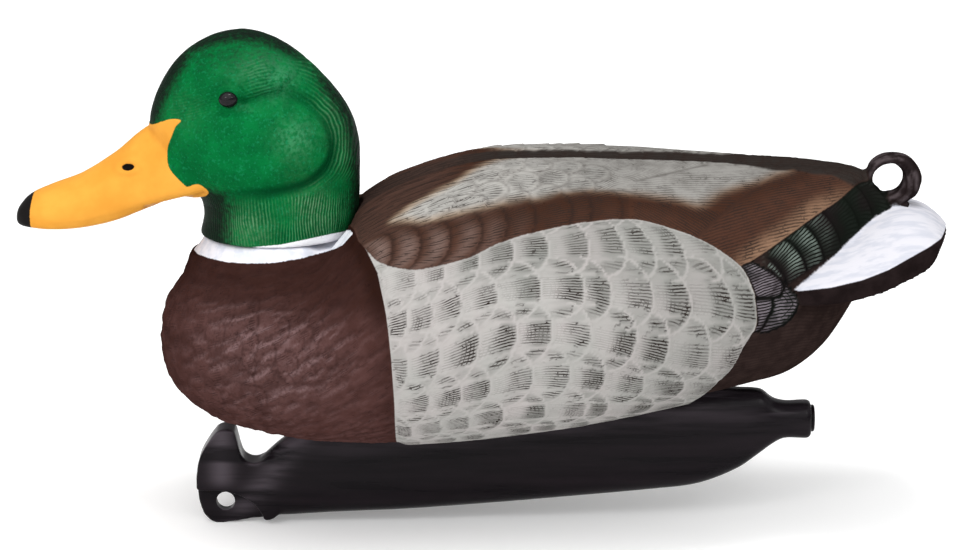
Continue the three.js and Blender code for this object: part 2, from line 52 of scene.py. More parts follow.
NECK_X = -91.2
NECK_Z = 138
NECK_RADIUS = 32.7
COLLAR_BASE_RADIUS = 41
COLLAR_HEIGHT = 11
NECK_SWEEP_RADIUS = 37.4
PART_GAP = 0.35
LOOP_X, LOOP_Z = 185.3, 162.2
LOOP_LENGTH, LOOP_HEIGHT, LOOP_WIDTH = 25.4, 22.8, 13
LOOP_HOLE_X, LOOP_HOLE_Z, LOOP_HOLE_RADIUS = 182.8, 162.8, 7
EYE_X, EYE_Z, EYE_RADIUS = -111.3, 203.7, 4.2
EYE_DOME, EYE_PROUD, EYE_FLATNESS = 2.6, 0.2, 0.82
TIE_HOLE_X, TIE_HOLE_Z, TIE_HOLE_RADIUS = -117.7, 10.6, 4.3
TAB_THICKNESS = 5
HOOK_THICKNESS = 15
SCREW_RECESS_RADIUS = 4.4
SCREW_HEAD_HEIGHT = 2.95
HULL_POWER = 2.15
BODY_VOXEL, HEAD_VOXEL, KEEL_VOXEL = 1.15, 0.85, 0.9

# Body rings: x, top z, bottom z, half width, z of the widest point
BODY_RINGS = [
    (-144.8, 92, 89, 1, 90.5),
    (-143.5, 103.5, 78.5, 17, 90.5),
    (-139.6, 111.5, 69.5, 31, 90.5),
    (-131.6, 120.5, 61.5, 45, 91.5),
    (-118.5, 128.5, 54, 57, 92.5),
    (-100.4, 132.5, 49, 67, 94.5),
    (-78.4, 133.5, 45.5, 74, 97.5),
    (-58.2, 149, 44.2, 77, 101.5),
    (-36, 162.4, 44, 78, 105.5),
    (0, 173.2, 46.5, 78, 110.5),
    (36, 174.8, 51.3, 77, 114.5),
    (66, 174.2, 56.6, 73, 116.5),
    (92, 173, 62, 65.5, 117.5),
    (116, 171.5, 67.2, 57, 118.5),
    (138, 170.1, 73, 48, 120.5),
    (154.8, 168.9, 85, 34, 124.5),
    (167, 167.4, 102, 21, 132.5),
    (176, 162.4, 119.5, 12, 140.5),
    (184, 154, 138.4, 7, 147.3),
]

# Head rings: z, front x, back x, half width, x of the widest point
HEAD_RINGS = [
    (138, -123.9, -58.5, 32.7, -91.2),
    (147.3, -123.8, -55.9, 33.2, -90.6),
    (157.2, -128.2, -54.8, 33, -91.4),
    (168, -138.9, -54.5, 33.5, -92.2),
    (178, -145.8, -54.7, 33.3, -93.1),
    (188, -148.5, -56.6, 31.5, -96),
    (197.2, -146.9, -61, 29.3, -99.7),
    (206.2, -143, -67.6, 26.8, -102.5),
    (215.2, -137.2, -76.3, 22.8, -104.3),
    (222.6, -129.3, -85.5, 17, -105.7),
    (228.2, -118.4, -96.1, 8.5, -106.6),
    (230.5, -108, -105.1, 1, -106.5),
]

# Bill rings: x, top z, bottom z, half width, z of the widest point
BILL_RINGS = [
    (-209.5, 146.3, 143.3, 2, 144.8),
    (-208, 149.8, 141.8, 7, 145),
    (-203, 155, 140.8, 12, 146),
    (-193, 159.7, 140.1, 15.3, 147),
    (-179, 165.1, 141, 15.6, 149),
    (-164, 174.6, 144.2, 15.4, 153.2),
    (-150.8, 185.3, 149.5, 17, 159.2),
    (-137, 188, 154.7, 21.5, 163.1),
    (-117, 185.6, 157.2, 24, 168),
]

# Keel rings: x, top z, bottom z, half width, z of the widest point
KEEL_RINGS = [
    (-105.7, 26, 3.2, 4, 14.6),
    (-99.6, 32.5, 3.4, 7.6, 17.7),
    (-87.3, 42.5, 4, 9.8, 19.8),
    (-67, 50, 5.4, 11.2, 21.8),
    (-36.6, 50, 6.8, 12, 23.9),
    (0, 52.5, 9.4, 12, 28),
    (40.5, 57.5, 12.9, 12, 32.2),
    (77, 63, 16.2, 11.6, 38.4),
    (99, 64.6, 18.9, 10.8, 43.5),
    (117, 64, 26, 9.6, 46.6),
    (127.8, 63.2, 33.8, 8.6, 49.1),
    (132.9, 59.2, 37.8, 8.3, 49.5),
    (138.4, 57.6, 40.8, 8.2, 49.5),
    (149.4, 57.8, 40.8, 8.4, 49.5),
    (150.6, 56.6, 42.1, 7.2, 49.5),
]

HOOK_OUTLINE = [
    (-120.4, 45.2), (-113.8, 45.4), (-112.4, 43.4), (-110.2, 34.6), (-108, 31.2),
    (-103.4, 29.8), (-95.3, 32.2), (-91.4, 20.8), (-93.7, 4.5), (-105.9, 1.9),
    (-116.8, 0.1), (-122.9, 0), (-126.9, 2.9), (-129, 7.3), (-130.3, 13.5),
    (-130.6, 22.3), (-129.6, 30.1), (-127, 36.3),
]

TAB_STEP = [
    (-137, 17.3), (-116.7, 16.2), (-109.4, 13.7), (-104, 10), (-100.2, 4.2),
    (-98.9, -5), (-137, -5),
]

# Fan stations: x, half width, edge z, crown height, thickness, rim lean
FAN_SHAPE = [
    (128, 40, 121.5, 9, 9, 0),
    (140, 49.5, 123.3, 10, 8.6, 0),
    (152, 53.3, 125, 11.5, 8.8, 0),
    (163.7, 54.2, 127.4, 13.5, 9.4, 0),
    (175.6, 53.6, 131.5, 15, 10.2, 0.2),
    (187.4, 51, 136.8, 13.6, 10.8, 0.8),
    (196.3, 46.8, 139.7, 10, 10.2, 1.6),
    (202.3, 40, 141.2, 6, 9.2, 2.4),
    (206.5, 25, 141.8, 2.2, 7.8, 3.2),
    (208.8, 11, 141.9, 0.6, 6.6, 3.6),
    (209.6, 3, 141.9, 0, 6, 3.8),
]

# ---- Outlines painted on the body: x, girth from the middle of the back -----------------------

FLANK_OUTLINE = [
    (-51, 48), (-45, 60), (-37, 68), (-27, 73), (-16, 74), (-4, 73), (9, 68), (26, 63),
    (43, 59), (58, 56), (69, 55), (81, 57), (94, 60), (106, 65), (114, 70), (118.5, 78),
    (120.5, 88), (120, 97), (115, 110), (111, 123), (104, 138), (98, 160), (96, 200),
    (96, 260), (-38, 260), (-38, 200), (-38, 160), (-38, 139), (-39, 115), (-41, 91),
    (-45, 68), (-49, 55),
]
REAR_OUTLINE = [
    (112, 71), (119, 65), (126, 59), (137, 49), (148, 38), (160, 26), (169, 14), (175, 6),
    (178, -8), (240, -8), (240, 260), (92, 260), (92, 170), (98, 138), (104, 110), (108, 90),
]
GREY_OUTLINE = [
    (-40, 40), (-31, 45), (-22, 48), (-5, 49), (13, 47), (34, 44), (52, 41), (70, 41),
    (85, 43), (96, 44), (107, 36), (119, 27), (128, 20), (138, 14), (128, 7), (115, 4),
    (71, 2), (35, 3), (12, 7), (0, 16), (-18, 28), (-34, 36),
]

BREAST_LINE = [
    (0, -62), (40, -54), (50, -50), (66, -45), (91, -41), (115, -39), (139, -38), (260, -38),
]

# White neck ring: its lower and upper edges, as x against height less a quarter of the
# distance from the mirror plane
RING_LEAN = 0.2586
RING_LOW = [
    (-132, 130.4), (-130, 129), (-127, 126.8), (-121, 124.8), (-112, 123), (-101, 122.4),
    (-91, 122.8), (-80, 124.7), (-71, 127.4), (-64.3, 129.4), (-58.4, 132), (-56, 134.6),
]
RING_HIGH = [(-90, 141), (-78, 140), (-71, 136.5), (-62, 138.2), (-58, 137.6), (-56, 135.4)]

# Lower edge of the white on the tail fan, as x against the same slanted height
WHITE_LOW = [
    (140, 109.9), (153.4, 111.5), (166.7, 114.8), (178.1, 119.4), (188.4, 125.3), (197.1, 130),
    (203.4, 134), (207.1, 138.1), (211, 143),
]

# Where the white ring laps up onto the foot of the neck, as x against the slanted height
NECK_LAP = [
    (-112, 129), (-102, 130.2), (-89, 131.2), (-76, 134.1), (-63, 137.1), (-57.8, 138.5),
    (-54, 139),
]

# Dark feathers behind the flank, the lowest first: an outline of x and girth, the height it
# stands off, and the slant and spacing of its lines
RUMP_FEATHERS = [
    (
        [
            (112, 66), (130, 70), (138.8, 75.5), (140.6, 79), (139.8, 83), (136, 90), (130, 95.5),
            (124, 98.5), (114, 98), (108, 84),
        ],
        0.6, 0.4, 1.6,
    ),
    (
        [
            (108, 79), (121.4, 78), (126.5, 79), (128.4, 83), (127.6, 87), (126.2, 90),
            (123.1, 97), (116, 101), (106, 98),
        ],
        0.8, 0.4, 1.4,
    ),
    (
        [
            (108, 62), (118, 65), (124.5, 67.5), (130.3, 70), (132.8, 74.5), (130.5, 79),
            (124, 81), (108, 82),
        ],
        1.1, 0.6, 1.2,
    ),
]

# Round scapular feathers: x, girth from the middle of the back, size
SCAPULARS = [
    (-18, 41, 6.5), (-9, 35, 6.5), (-4, 46, 6.5), (3, 27, 6), (4, 39, 7.5), (14, 19, 5.5),
    (15, 45, 6.5), (18, 33, 8), (25, 20, 6), (29, 42, 6.5), (31, 31, 7.5), (38, 21, 7),
    (43, 37, 7), (49, 27, 7.5),
]

# Quills of the long feathers: points of x and girth
SHAFTS = [
    [(68, 31), (80, 25), (91, 18), (101, 12)],
    [(94, 60), (104, 48), (114, 37), (123, 27)],
    [(50, 40), (62, 38), (73, 41), (82, 46)],
]

# ---- Sprayed colours --------------------------------------------------------------------------

WING_BROWN = (0.058, 0.026, 0.017)
WING_DEEP = (0.036, 0.015, 0.009)
COVERT_EDGE_AND_HIGHLIGHT = (0.2, 0.14, 0.122)
MANTLE_BROWN = (0.056, 0.03, 0.023)
CREAM = (0.33, 0.245, 0.17)
WING_GREY = (0.345, 0.335, 0.314)
TAN_EDGE = (0.25, 0.15, 0.095)
STRIPE_DARK = (0.024, 0.02, 0.018)
BLACK = (0, 0, 0)

# ---- Outlines on the head, side view: x, z ----------------------------------------------------

BILL_OUTLINE = [
    (-147.9, 188.4), (-142, 191.2), (-137, 193.4), (-132.6, 193.4), (-135, 190.4),
    (-136.6, 186.4), (-138.6, 180.8), (-139.2, 176.3), (-138.7, 172.6), (-137, 169.6),
    (-133.7, 166.3), (-130.4, 163.6), (-127, 164.8), (-123.8, 164.3), (-121, 161.5),
    (-122.6, 158.6), (-127, 156), (-131, 148), (-160, 130), (-222, 130), (-222, 170),
    (-190, 182), (-165, 190), (-154, 190),
]
CHEEK_OUTLINE = [
    (-165, 188), (-140, 190), (-124, 194), (-111, 198.5), (-100, 203), (-86, 204.5),
    (-74.5, 198), (-67.3, 187), (-68, 176), (-76, 168.8), (-89, 165.4), (-105, 163.2),
    (-120, 161), (-165, 158),
]

# ---- Numbers and curves -----------------------------------------------------------------------


def smoothstep(low, high, value):
    """0 below low, 1 above high, and a smooth rise between."""
    t = np.clip((value - low) / (high - low), 0, 1)
    return t * t * (3 - 2 * t)


def bell(value, width):
    """1 at zero, falling off to nothing a couple of widths away."""
    return np.exp(-((value / width) ** 2))


def choose(values, new, mask):
    """The values, replaced by the new ones where the mask is on."""
    return np.where(mask > 0.5, new, values)


def follow(x, points):
    """Height at x of the line through points of (x, height)."""
    return np.interp(x, *np.transpose(points))


def hashed(ix, iy, iz, seed):
    """A repeatable random number from 0 to 1 for each whole-number cell."""
    n = (
        ix.astype(np.int64) * 374761393
        + iy.astype(np.int64) * 668265263
        + iz.astype(np.int64) * 1442695041
        + seed * 974634777
    )
    n = (n ^ (n >> 13)) * 1274126177
    n = (n ^ (n >> 16)) & 0xFFFF
    return n / 65535


def cloud(points, size, seed):
    """Smooth noise from -1 to 1 with blobs of about `size` millimetres."""
    scaled = points / size
    cell = np.floor(scaled)
    t = scaled - cell
    t = t * t * (3 - 2 * t)
    total = np.zeros(len(points))
    for corner in range(8):
        offset = np.array([corner & 1, (corner >> 1) & 1, corner >> 2])
        weight = np.prod(np.where(offset == 1, t, 1 - t), axis=1)
        total += weight * hashed(*(cell + offset).T, seed)
    return 2 * total - 1


def resample(rows, count):
    """Rows carried along a smooth curve, spread evenly along its length."""
    rows = np.asarray(rows, float)
    along = np.concatenate([[0], np.cumsum(np.linalg.norm(np.diff(rows, axis=0), axis=1))])
    low = np.maximum(np.arange(len(rows)) - 1, 0)
    high = np.minimum(np.arange(len(rows)) + 1, len(rows) - 1)
    slopes = (rows[high] - rows[low]) / (along[high] - along[low])[:, None]
    s = np.linspace(0, along[-1], count)
    k = np.clip(np.searchsorted(along, s, side="right") - 1, 0, len(rows) - 2)
    span = (along[k + 1] - along[k])[:, None]
    t = (s - along[k])[:, None] / span
    return (
        (1 + 2 * t) * (1 - t) ** 2 * rows[k]
        + t * (1 - t) ** 2 * span * slopes[k]
        + t * t * (3 - 2 * t) * rows[k + 1]
        + t * t * (t - 1) * span * slopes[k + 1]
    )


def rounded_outline(outline, steps=6):
    """A closed outline through the given corners as a smooth curve."""
    p = np.asarray(outline, float)
    before, after, beyond = np.roll(p, 1, 0), np.roll(p, -1, 0), np.roll(p, -2, 0)
    square = 2 * before - 5 * p + 4 * after - beyond
    cube = 3 * p - before - 3 * after + beyond
    t = np.arange(steps)[:, None] / steps
    curve = [
        0.5 * (2 * p[i] + (after - before)[i] * t + square[i] * t**2 + cube[i] * t**3)
        for i in range(len(p))
    ]
    return np.concatenate(curve)


def line_distance(a, b, points):
    """Distance from the points (a, b) to a line of straight segments."""
    nearest = np.full(len(a), 1e9)
    for (x0, y0), (x1, y1) in zip(points[:-1], points[1:]):
        dx, dy = x1 - x0, y1 - y0
        t = np.clip(((a - x0) * dx + (b - y0) * dy) / (dx * dx + dy * dy), 0, 1)
        nearest = np.minimum(nearest, np.hypot(a - x0 - t * dx, b - y0 - t * dy))
    return nearest


def inside_distance(a, b, corners, steps=6):
    """Distance from the points (a, b) to the rounded outline of corners, positive inside it."""
    outline = rounded_outline(corners, steps)
    outline = np.vstack([outline, outline[:1]])
    inside = np.zeros(len(a), bool)
    for (x0, y0), (x1, y1) in zip(outline[:-1], outline[1:]):
        if y0 != y1:
            inside ^= ((y0 > b) != (y1 > b)) & (a < x0 + (b - y0) * (x1 - x0) / (y1 - y0))
    away = line_distance(a, b, outline)
    return np.where(inside, away, -away)


# ---- Solid forms: (vertices, faces) in millimetres --------------------------------------------


def circle(sides):
    """Angles spread evenly round a circle."""
    return 2 * np.pi * np.arange(sides) / sides


def super_point(angle, power):
    """Point of a superellipse: power 2 is an ellipse, more is boxier."""
    c, s = np.cos(angle), np.sin(angle)
    return np.sign(c) * np.abs(c) ** (2 / power), np.sign(s) * np.abs(s) ** (2 / power)


def skin(*coordinates):
    """Closed surface through rings of points, from x, y and z that broadcast to (ring, point)."""
    rings = np.stack(np.broadcast_arrays(*coordinates), axis=2)
    count, sides = rings.shape[:2]
    verts = np.vstack([rings.reshape(-1, 3), rings[0].mean(0), rings[-1].mean(0)])
    around = [(i, (i + 1) % sides) for i in range(sides)]
    last = (count - 1) * sides
    faces = [
        (r + i, r + j, r + sides + j, r + sides + i) for r in range(0, last, sides) for i, j in around
    ]
    for i, j in around:
        faces += [(count * sides, j, i), (count * sides + 1, last + i, last + j)]
    return verts, faces


def loft_x(table, count, sides, upper=2, lower=2, top_pinch=0, drop=0):
    """Loft along X through rows of x, top, bottom, half width, widest."""
    x, top, bottom, half, widest = resample(table, count).T[:, :, None]
    angle = circle(sides)
    up = np.sin(angle) >= 0
    c, s = super_point(angle, np.where(up, upper, lower))
    rise = np.where(up, top - widest, widest - bottom)
    pinch = np.where(up, 1 - top_pinch * s**2, 1)
    return skin(x, c * half * pinch, widest + s * rise - drop)


def loft_z(table, count, sides):
    """Loft along Z through rows of z, front x, back x, half width, widest x."""
    z, front, back, half, widest = resample(table, count).T[:, :, None]
    c, s = np.cos(circle(sides)), np.sin(circle(sides))
    reach = np.where(c >= 0, back - widest, widest - front)
    return skin(widest + c * reach, s * half, z)


def turned(profile, centre, axis="Z", sides=64, squash=1):
    """Solid of revolution from (radius, place along the axis) points.

    The centre is given in the other two directions, and squash flattens the second of them.
    """
    radius, along = np.transpose(profile)[:, :, None]
    angle = circle(sides)
    spots = [centre[0] + radius * np.cos(angle), centre[1] + squash * radius * np.sin(angle)]
    spots.insert("XYZ".index(axis), along)
    return skin(*spots)


def cross_pin(radius, x, z, half_length=30):
    """Cylinder across the whole decoy, to cut a hole with."""
    return turned([(radius, half_length), (radius, -half_length)], (x, z), "Y", 48)


def side_plate(outline, thickness):
    """Plate across the mirror plane with an outline of (x, z) points."""
    x, z = np.transpose(outline)
    count = len(x)
    verts = [np.stack([x, 0 * x + side * thickness / 2, z], axis=1) for side in (-1, 1)]
    faces = [(i, (i + 1) % count, count + (i + 1) % count, count + i) for i in range(count)]
    return np.vstack(verts), faces + [tuple(range(count))[::-1], tuple(range(count, 2 * count))]


# ---- Blender meshes ---------------------------------------------------------------------------


def add_object(name, data):
    obj = bpy.data.objects.new(name, data)
    bpy.context.scene.collection.objects.link(obj)
    return obj


def mesh_object(name, verts, faces):
    """Blender object from millimetre vertices, with its faces turned outward."""
    mesh = bpy.data.meshes.new(name)
    mesh.from_pydata((np.asarray(verts) * MM).tolist(), [], faces)
    mesh.validate()
    work = bmesh.new()
    work.from_mesh(mesh)
    bmesh.ops.recalc_face_normals(work, faces=work.faces)
    work.to_mesh(mesh)
    work.free()
    return add_object(name, mesh)


def read(items, name, width, kind=float):
    """Rows of `width` values, one row for every item of a mesh."""
    values = np.zeros(len(items) * width, kind)
    items.foreach_get(name, values)
    return values.reshape(-1, width)


def settle(obj):
    """Applies the modifiers of obj to its mesh."""
    depsgraph = bpy.context.evaluated_depsgraph_get()
    made = bpy.data.meshes.new_from_object(obj.evaluated_get(depsgraph))
    old = obj.data
    obj.modifiers.clear()
    obj.data = made
    bpy.data.meshes.remove(old)


def cut(obj, solid, operation="DIFFERENCE"):
    """Boolean of obj with a (vertices, faces) solid."""
    tool = mesh_object("tool", *solid)
    change = obj.modifiers.new("cut", "BOOLEAN")
    change.operation = operation
    change.solver = "EXACT"
    change.object = tool
    settle(obj)
    bpy.data.meshes.remove(tool.data)


def melt(objects, voxel, rounds, amount=0.5):
    """Melts closed objects into one even mesh and relaxes it: millimetre vertices, and quads."""
    bpy.ops.object.select_all(action="DESELECT")
    for obj in objects:
        obj.select_set(True)
    whole = objects[0]
    bpy.context.view_layer.objects.active = whole
    bpy.ops.object.join()
    change = whole.modifiers.new("melt", "REMESH")
    change.mode = "VOXEL"
    change.voxel_size = voxel * MM
    settle(whole)
    mesh = whole.data
    verts = read(mesh.vertices, "co", 3) / MM
    quads = read(mesh.loops, "vertex_index", 1, np.int64).reshape(-1, 4)
    bpy.data.meshes.remove(mesh)
    return relax(verts, quads, rounds, amount), quads


def quad_edges(quads):
    pairs = np.concatenate([quads[:, [i, (i + 1) % 4]] for i in range(4)])
    return np.unique(np.sort(pairs, axis=1), axis=0)


def relax(verts, quads, rounds, amount):
    """Evens out the small steps that melting leaves."""
    edges = quad_edges(quads).T.copy()
    degree = np.bincount(edges.ravel(), minlength=len(verts))[:, None]
    for push in (amount, -amount * 0.98) * rounds:
        total = np.zeros_like(verts)
        for here, there in (edges, edges[::-1]):
            for axis in range(3):
                total[:, axis] += np.bincount(here, verts[there, axis], len(verts))
        verts = verts + push * (total / degree - verts)
    return verts


def vertex_normals(verts, quads):
    a, b, c, d = (verts[quads[:, i]] for i in range(4))
    face = np.cross(c - a, d - b)
    normals = np.zeros_like(verts)
    for i in range(4):
        for axis in range(3):
            normals[:, axis] += np.bincount(quads[:, i], face[:, axis], len(verts))
    return normals / np.maximum(np.linalg.norm(normals, axis=1), 1e-12)[:, None]


def finish(obj, material, body, node, sharp=None):
    """Smooth shading except at edges sharper than so many degrees, and a place on a body."""
    mesh = obj.data
    mesh.polygons.foreach_set("use_smooth", np.ones(len(mesh.polygons), bool))
    if sharp:
        mesh.set_sharp_from_angle(angle=math.radians(sharp))
    mesh.materials.clear()
    mesh.materials.append(material)
    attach(obj, body)
    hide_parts(node)


def store(obj, **layers):
    """Keeps one number or one colour for each vertex, for the material to read."""
    for name, values in layers.items():
        values = np.asarray(values, np.float32)
        if values.ndim == 1:
            layer = obj.data.attributes.new(name, "FLOAT", "POINT")
            layer.data.foreach_set("value", values)
        else:
            layer = obj.data.attributes.new(name, "FLOAT_COLOR", "POINT")
            rgba = np.ones((len(values), 4), np.float32)
            rgba[:, :3] = values
            layer.data.foreach_set("color", rgba.ravel())


class Surface:
    """Vertices in millimetres, how far each is from the mirror plane and the neck's axis, and
    the height of its relief."""

    def __init__(self, verts):
        self.x, self.y, self.z = verts.T
        self.side = np.abs(self.y)
        self.spots = np.stack([self.x, self.side, self.z], axis=1)
        self.from_neck = np.hypot(self.x - NECK_X, self.y)
        self.height = np.zeros(len(verts))

    def cloud(self, size, seed):
        return cloud(self.spots, size, seed)


# ---- Feathers ---------------------------------------------------------------------------------


def feathers(u, v, pitch, rows, depth, reach, seed, jitter):
    """Rows of overlapping rounded feathers whose free ends point along +u.

    The rows are `rows` apart in v, each holds one feather every `pitch` in u, and odd rows sit
    half a pitch further on. A feather is 2 x reach wide and its end is rounded by `depth`.
    Gives for each point the distance forward to its own feather's free end, the distance
    back to the free end that lies over it, the place across the feather from -1 to 1, and a
    random number of that feather.
    """
    own, behind = np.full((2, len(u)), 1e9)
    across, chance = np.zeros((2, len(u)))
    nearest_row = np.round(v / rows)
    for dr in (-1, 0, 1):
        j = nearest_row + dr
        shift = 0.5 * np.mod(j, 2)
        side = (v - j * rows) / reach
        near = np.abs(side) < 1
        round_off = np.sqrt(np.clip(1 - side**2, 0, 1))
        bend = depth * (1 - round_off)
        slope = depth * np.abs(side) / reach / np.maximum(round_off, 0.3)
        first = np.floor((u + bend) / pitch - shift)
        for dk in (-1, 0, 1, 2):
            k = first + dk
            loose = jitter * (hashed(k, j, 0 * k, seed) - 0.5)
            gap = ((k + shift + loose) * pitch - bend - u) / np.sqrt(1 + slope**2)
            ahead = near & (gap >= 0) & (gap < own)
            own = np.where(ahead, gap, own)
            across = np.where(ahead, side, across)
            chance = np.where(ahead, hashed(k, j, 0 * k + 13, seed), chance)
            back = near & (gap < 0) & (-gap < behind)
            behind = np.where(back, -gap, behind)
    return np.minimum(own, 3 * pitch), np.minimum(behind, 3 * pitch), across, chance


def feather_relief(own, pitch, lift):
    """Height of overlapping feathers: each rises slowly to its free end, then drops."""
    return lift * np.clip(1 - own / (1.5 * pitch), 0, 1) * smoothstep(-0.4, 0.9, own)


def hide_jumps(ink, phase, quads, limit=1.25):
    """No ink where the line pattern jumps from one feather to the next."""
    edges = quad_edges(quads)
    jump = np.abs(phase[edges[:, 0]] - phase[edges[:, 1]]) > limit
    hidden = ink.copy()
    hidden[edges[jump].ravel()] = 0
    return hidden


# ---- Body: form -------------------------------------------------------------------------------

ring_table = resample(BODY_RINGS, 400)
fan_table = resample(FAN_SHAPE, 200)


def hull_section(x, z):
    """Half width and widest height at x, the reach above and below it, and the one towards z."""
    top, bottom, half, widest = (np.interp(x, ring_table[:, 0], ring_table[:, i]) for i in (1, 2, 3, 4))
    above, below = top - widest, widest - bottom
    return half, widest, above, below, np.where(z > widest, above, below)


def fan_value(x, column):
    return np.interp(x, fan_table[:, 0], fan_table[:, column])


def off_hull(x, y, z):
    """How far a point stands off the hull's skin, roughly, in millimetres."""
    half, widest, _, _, rise = hull_section(x, z)
    reach = (np.abs(y) / half) ** HULL_POWER + (np.abs(z - widest) / rise) ** HULL_POWER
    return np.where(x > 184, 5, (reach ** (1 / HULL_POWER) - 1) * half)


def girth(x, y, z):
    """Distance of a point from the middle of the back, measured round the body."""
    half, widest, above, below, rise = hull_section(x, z)
    phi = np.degrees(np.arctan2((z - widest) / rise, np.abs(y) / half))
    upper, lower = (np.pi / 2 * np.sqrt((half**2 + reach**2) / 2) for reach in (above, below))
    return (90 - phi) / 180 * (upper + lower)


def tail_fan():
    across = np.linspace(-1, 1, 33)
    x, half, edge, crown, thickness, lean = resample(FAN_SHAPE, 60).T[:, :, None]
    height = edge + crown * (1 - across**2)
    return skin(
        np.hstack([x + 0 * across, x - lean + 0 * across]),
        np.hstack([across * half, (across * half * 0.95)[:, ::-1]]),
        np.hstack([height, (height - thickness)[:, ::-1]]),
    )


def tail_loop():
    """Ring of curled tail feathers, thin in front and broad behind."""
    turns, sides = 72, 28
    t = circle(turns)
    inner = [LOOP_HOLE_X + LOOP_HOLE_RADIUS * np.cos(t), LOOP_HOLE_Z + LOOP_HOLE_RADIUS * np.sin(t)]
    outer = [LOOP_X + LOOP_LENGTH / 2 * np.cos(t), LOOP_Z + LOOP_HEIGHT / 2 * np.sin(t)]
    middle, reach = np.add(inner, outer) / 2, np.subtract(outer, inner) / 2
    c, s = super_point(circle(sides), 3)
    x, z = middle[:, :, None] + reach[:, :, None] * c
    verts = np.stack([x, np.broadcast_to(s * LOOP_WIDTH / 2, x.shape), z], axis=2)
    faces = []
    for i in range(turns):
        for j in range(sides):
            n, m = (i + 1) % turns, (j + 1) % sides
            faces.append((i * sides + j, n * sides + j, n * sides + m, i * sides + m))
    return verts.reshape(-1, 3), faces


def body_form():
    """The body without feathers: hull, collar, fan and loop melted together."""
    top = NECK_Z - PART_GAP
    hull = mesh_object("hull", *loft_x(BODY_RINGS, 110, 120, HULL_POWER, HULL_POWER))
    sweep = [(NECK_SWEEP_RADIUS, top), (NECK_SWEEP_RADIUS, top + 70)]
    cut(hull, turned(sweep, (NECK_X, 0), sides=96))
    cut(hull, cross_pin(LOOP_HOLE_RADIUS, LOOP_HOLE_X, LOOP_HOLE_Z))
    base = COLLAR_BASE_RADIUS
    profile = [
        (base + 6, top - 40), (base + 3, top - 20), (base, top - COLLAR_HEIGHT),
        (base - 2.6, top - COLLAR_HEIGHT * 0.75), (base - 4.8, top - COLLAR_HEIGHT * 0.5),
        (base - 6.6, top - COLLAR_HEIGHT * 0.25), (NECK_RADIUS + 0.6, top - 1), (NECK_RADIUS, top),
    ]
    collar = mesh_object("collar", *turned(profile, (NECK_X, 0), sides=96))
    fan = mesh_object("fan", *tail_fan())
    loop = mesh_object("loop", *tail_loop())
    return melt([hull, collar, fan, loop], BODY_VOXEL, 10)


# ---- Body: relief and paint -------------------------------------------------------------------


class Coat(Surface):
    """The body's surface, the region each vertex lies in, and its layers of paint.

    The distance round the body from the middle of the back is w. A region is the distance
    inside its outline.
    """

    def __init__(self, verts):
        super().__init__(verts)
        self.w = girth(*verts.T)
        self.proud = off_hull(*verts.T)
        # One of the layers is painted shade: darker in creases, grooves and just behind the feathers'
        # free edges.
        for layer in ("ink", "phase", "cross", "groove", "shade"):
            setattr(self, layer, np.zeros(len(verts)))

    def draw(self, mask, ink, phase, cross=None):
        """A new pattern of inked lines where the mask is on."""
        self.ink = choose(self.ink, ink, mask)
        self.phase = choose(self.phase, phase, mask)
        if cross is not None:
            self.cross = choose(self.cross, cross, mask)


def mark_regions(coat):
    x, z, w, side = coat.x, coat.z, coat.w, coat.side
    coat.flank = inside_distance(x, w, FLANK_OUTLINE)
    coat.rear = inside_distance(x, w, REAR_OUTLINE)
    coat.grey = inside_distance(x, w, GREY_OUTLINE)
    coat.breast = follow(w, BREAST_LINE) - x
    coat.tail = smoothstep(0.5, 1.6, coat.proud) * (x > 126)

    crown = fan_value(x, 3) * (1 - np.clip(side / fan_value(x, 1), -1, 1) ** 2)
    under_fan = fan_value(x, 2) + crown - z
    limits = [
        2.2 - under_fan, 2.5 + under_fan, coat.proud - 0.5, x - 133,
        z - RING_LEAN * side - follow(x, WHITE_LOW),
        np.interp(x, [184, 192, 193], [0, 0, 9]) + side - 6.5,
    ]
    coat.white = np.min(limits, axis=0)

    # The shoulder dips where it meets the ring's ends.
    dip = smoothstep(50, 42, coat.from_neck) * smoothstep(-80, -71, x) * smoothstep(-53, -60, x)
    coat.dip = 2.4 * dip * smoothstep(12, 20, side) * (z > 120)
    seen = z - coat.dip - RING_LEAN * side
    limits = [seen - follow(x, RING_LOW), 50 - coat.from_neck, follow(x, RING_HIGH) - seen]
    coat.collar = np.min(limits, axis=0)
    coat.plain = np.clip(coat.tail + smoothstep(-2, 0, coat.collar), 0, 1)

    in_breast, in_rear = (smoothstep(-0.3, 0.5, region) for region in (coat.breast, coat.rear))
    coat.on_flank = smoothstep(-0.2, 0.6, coat.flank)
    coat.on_breast = in_breast * (1 - smoothstep(-2, 1, coat.collar))
    coat.on_wing = (1 - smoothstep(-0.3, 0.5, coat.flank)) * (1 - in_breast) * (1 - in_rear)
    coat.on_rear = in_rear * (1 - coat.on_flank) * (1 - coat.tail)


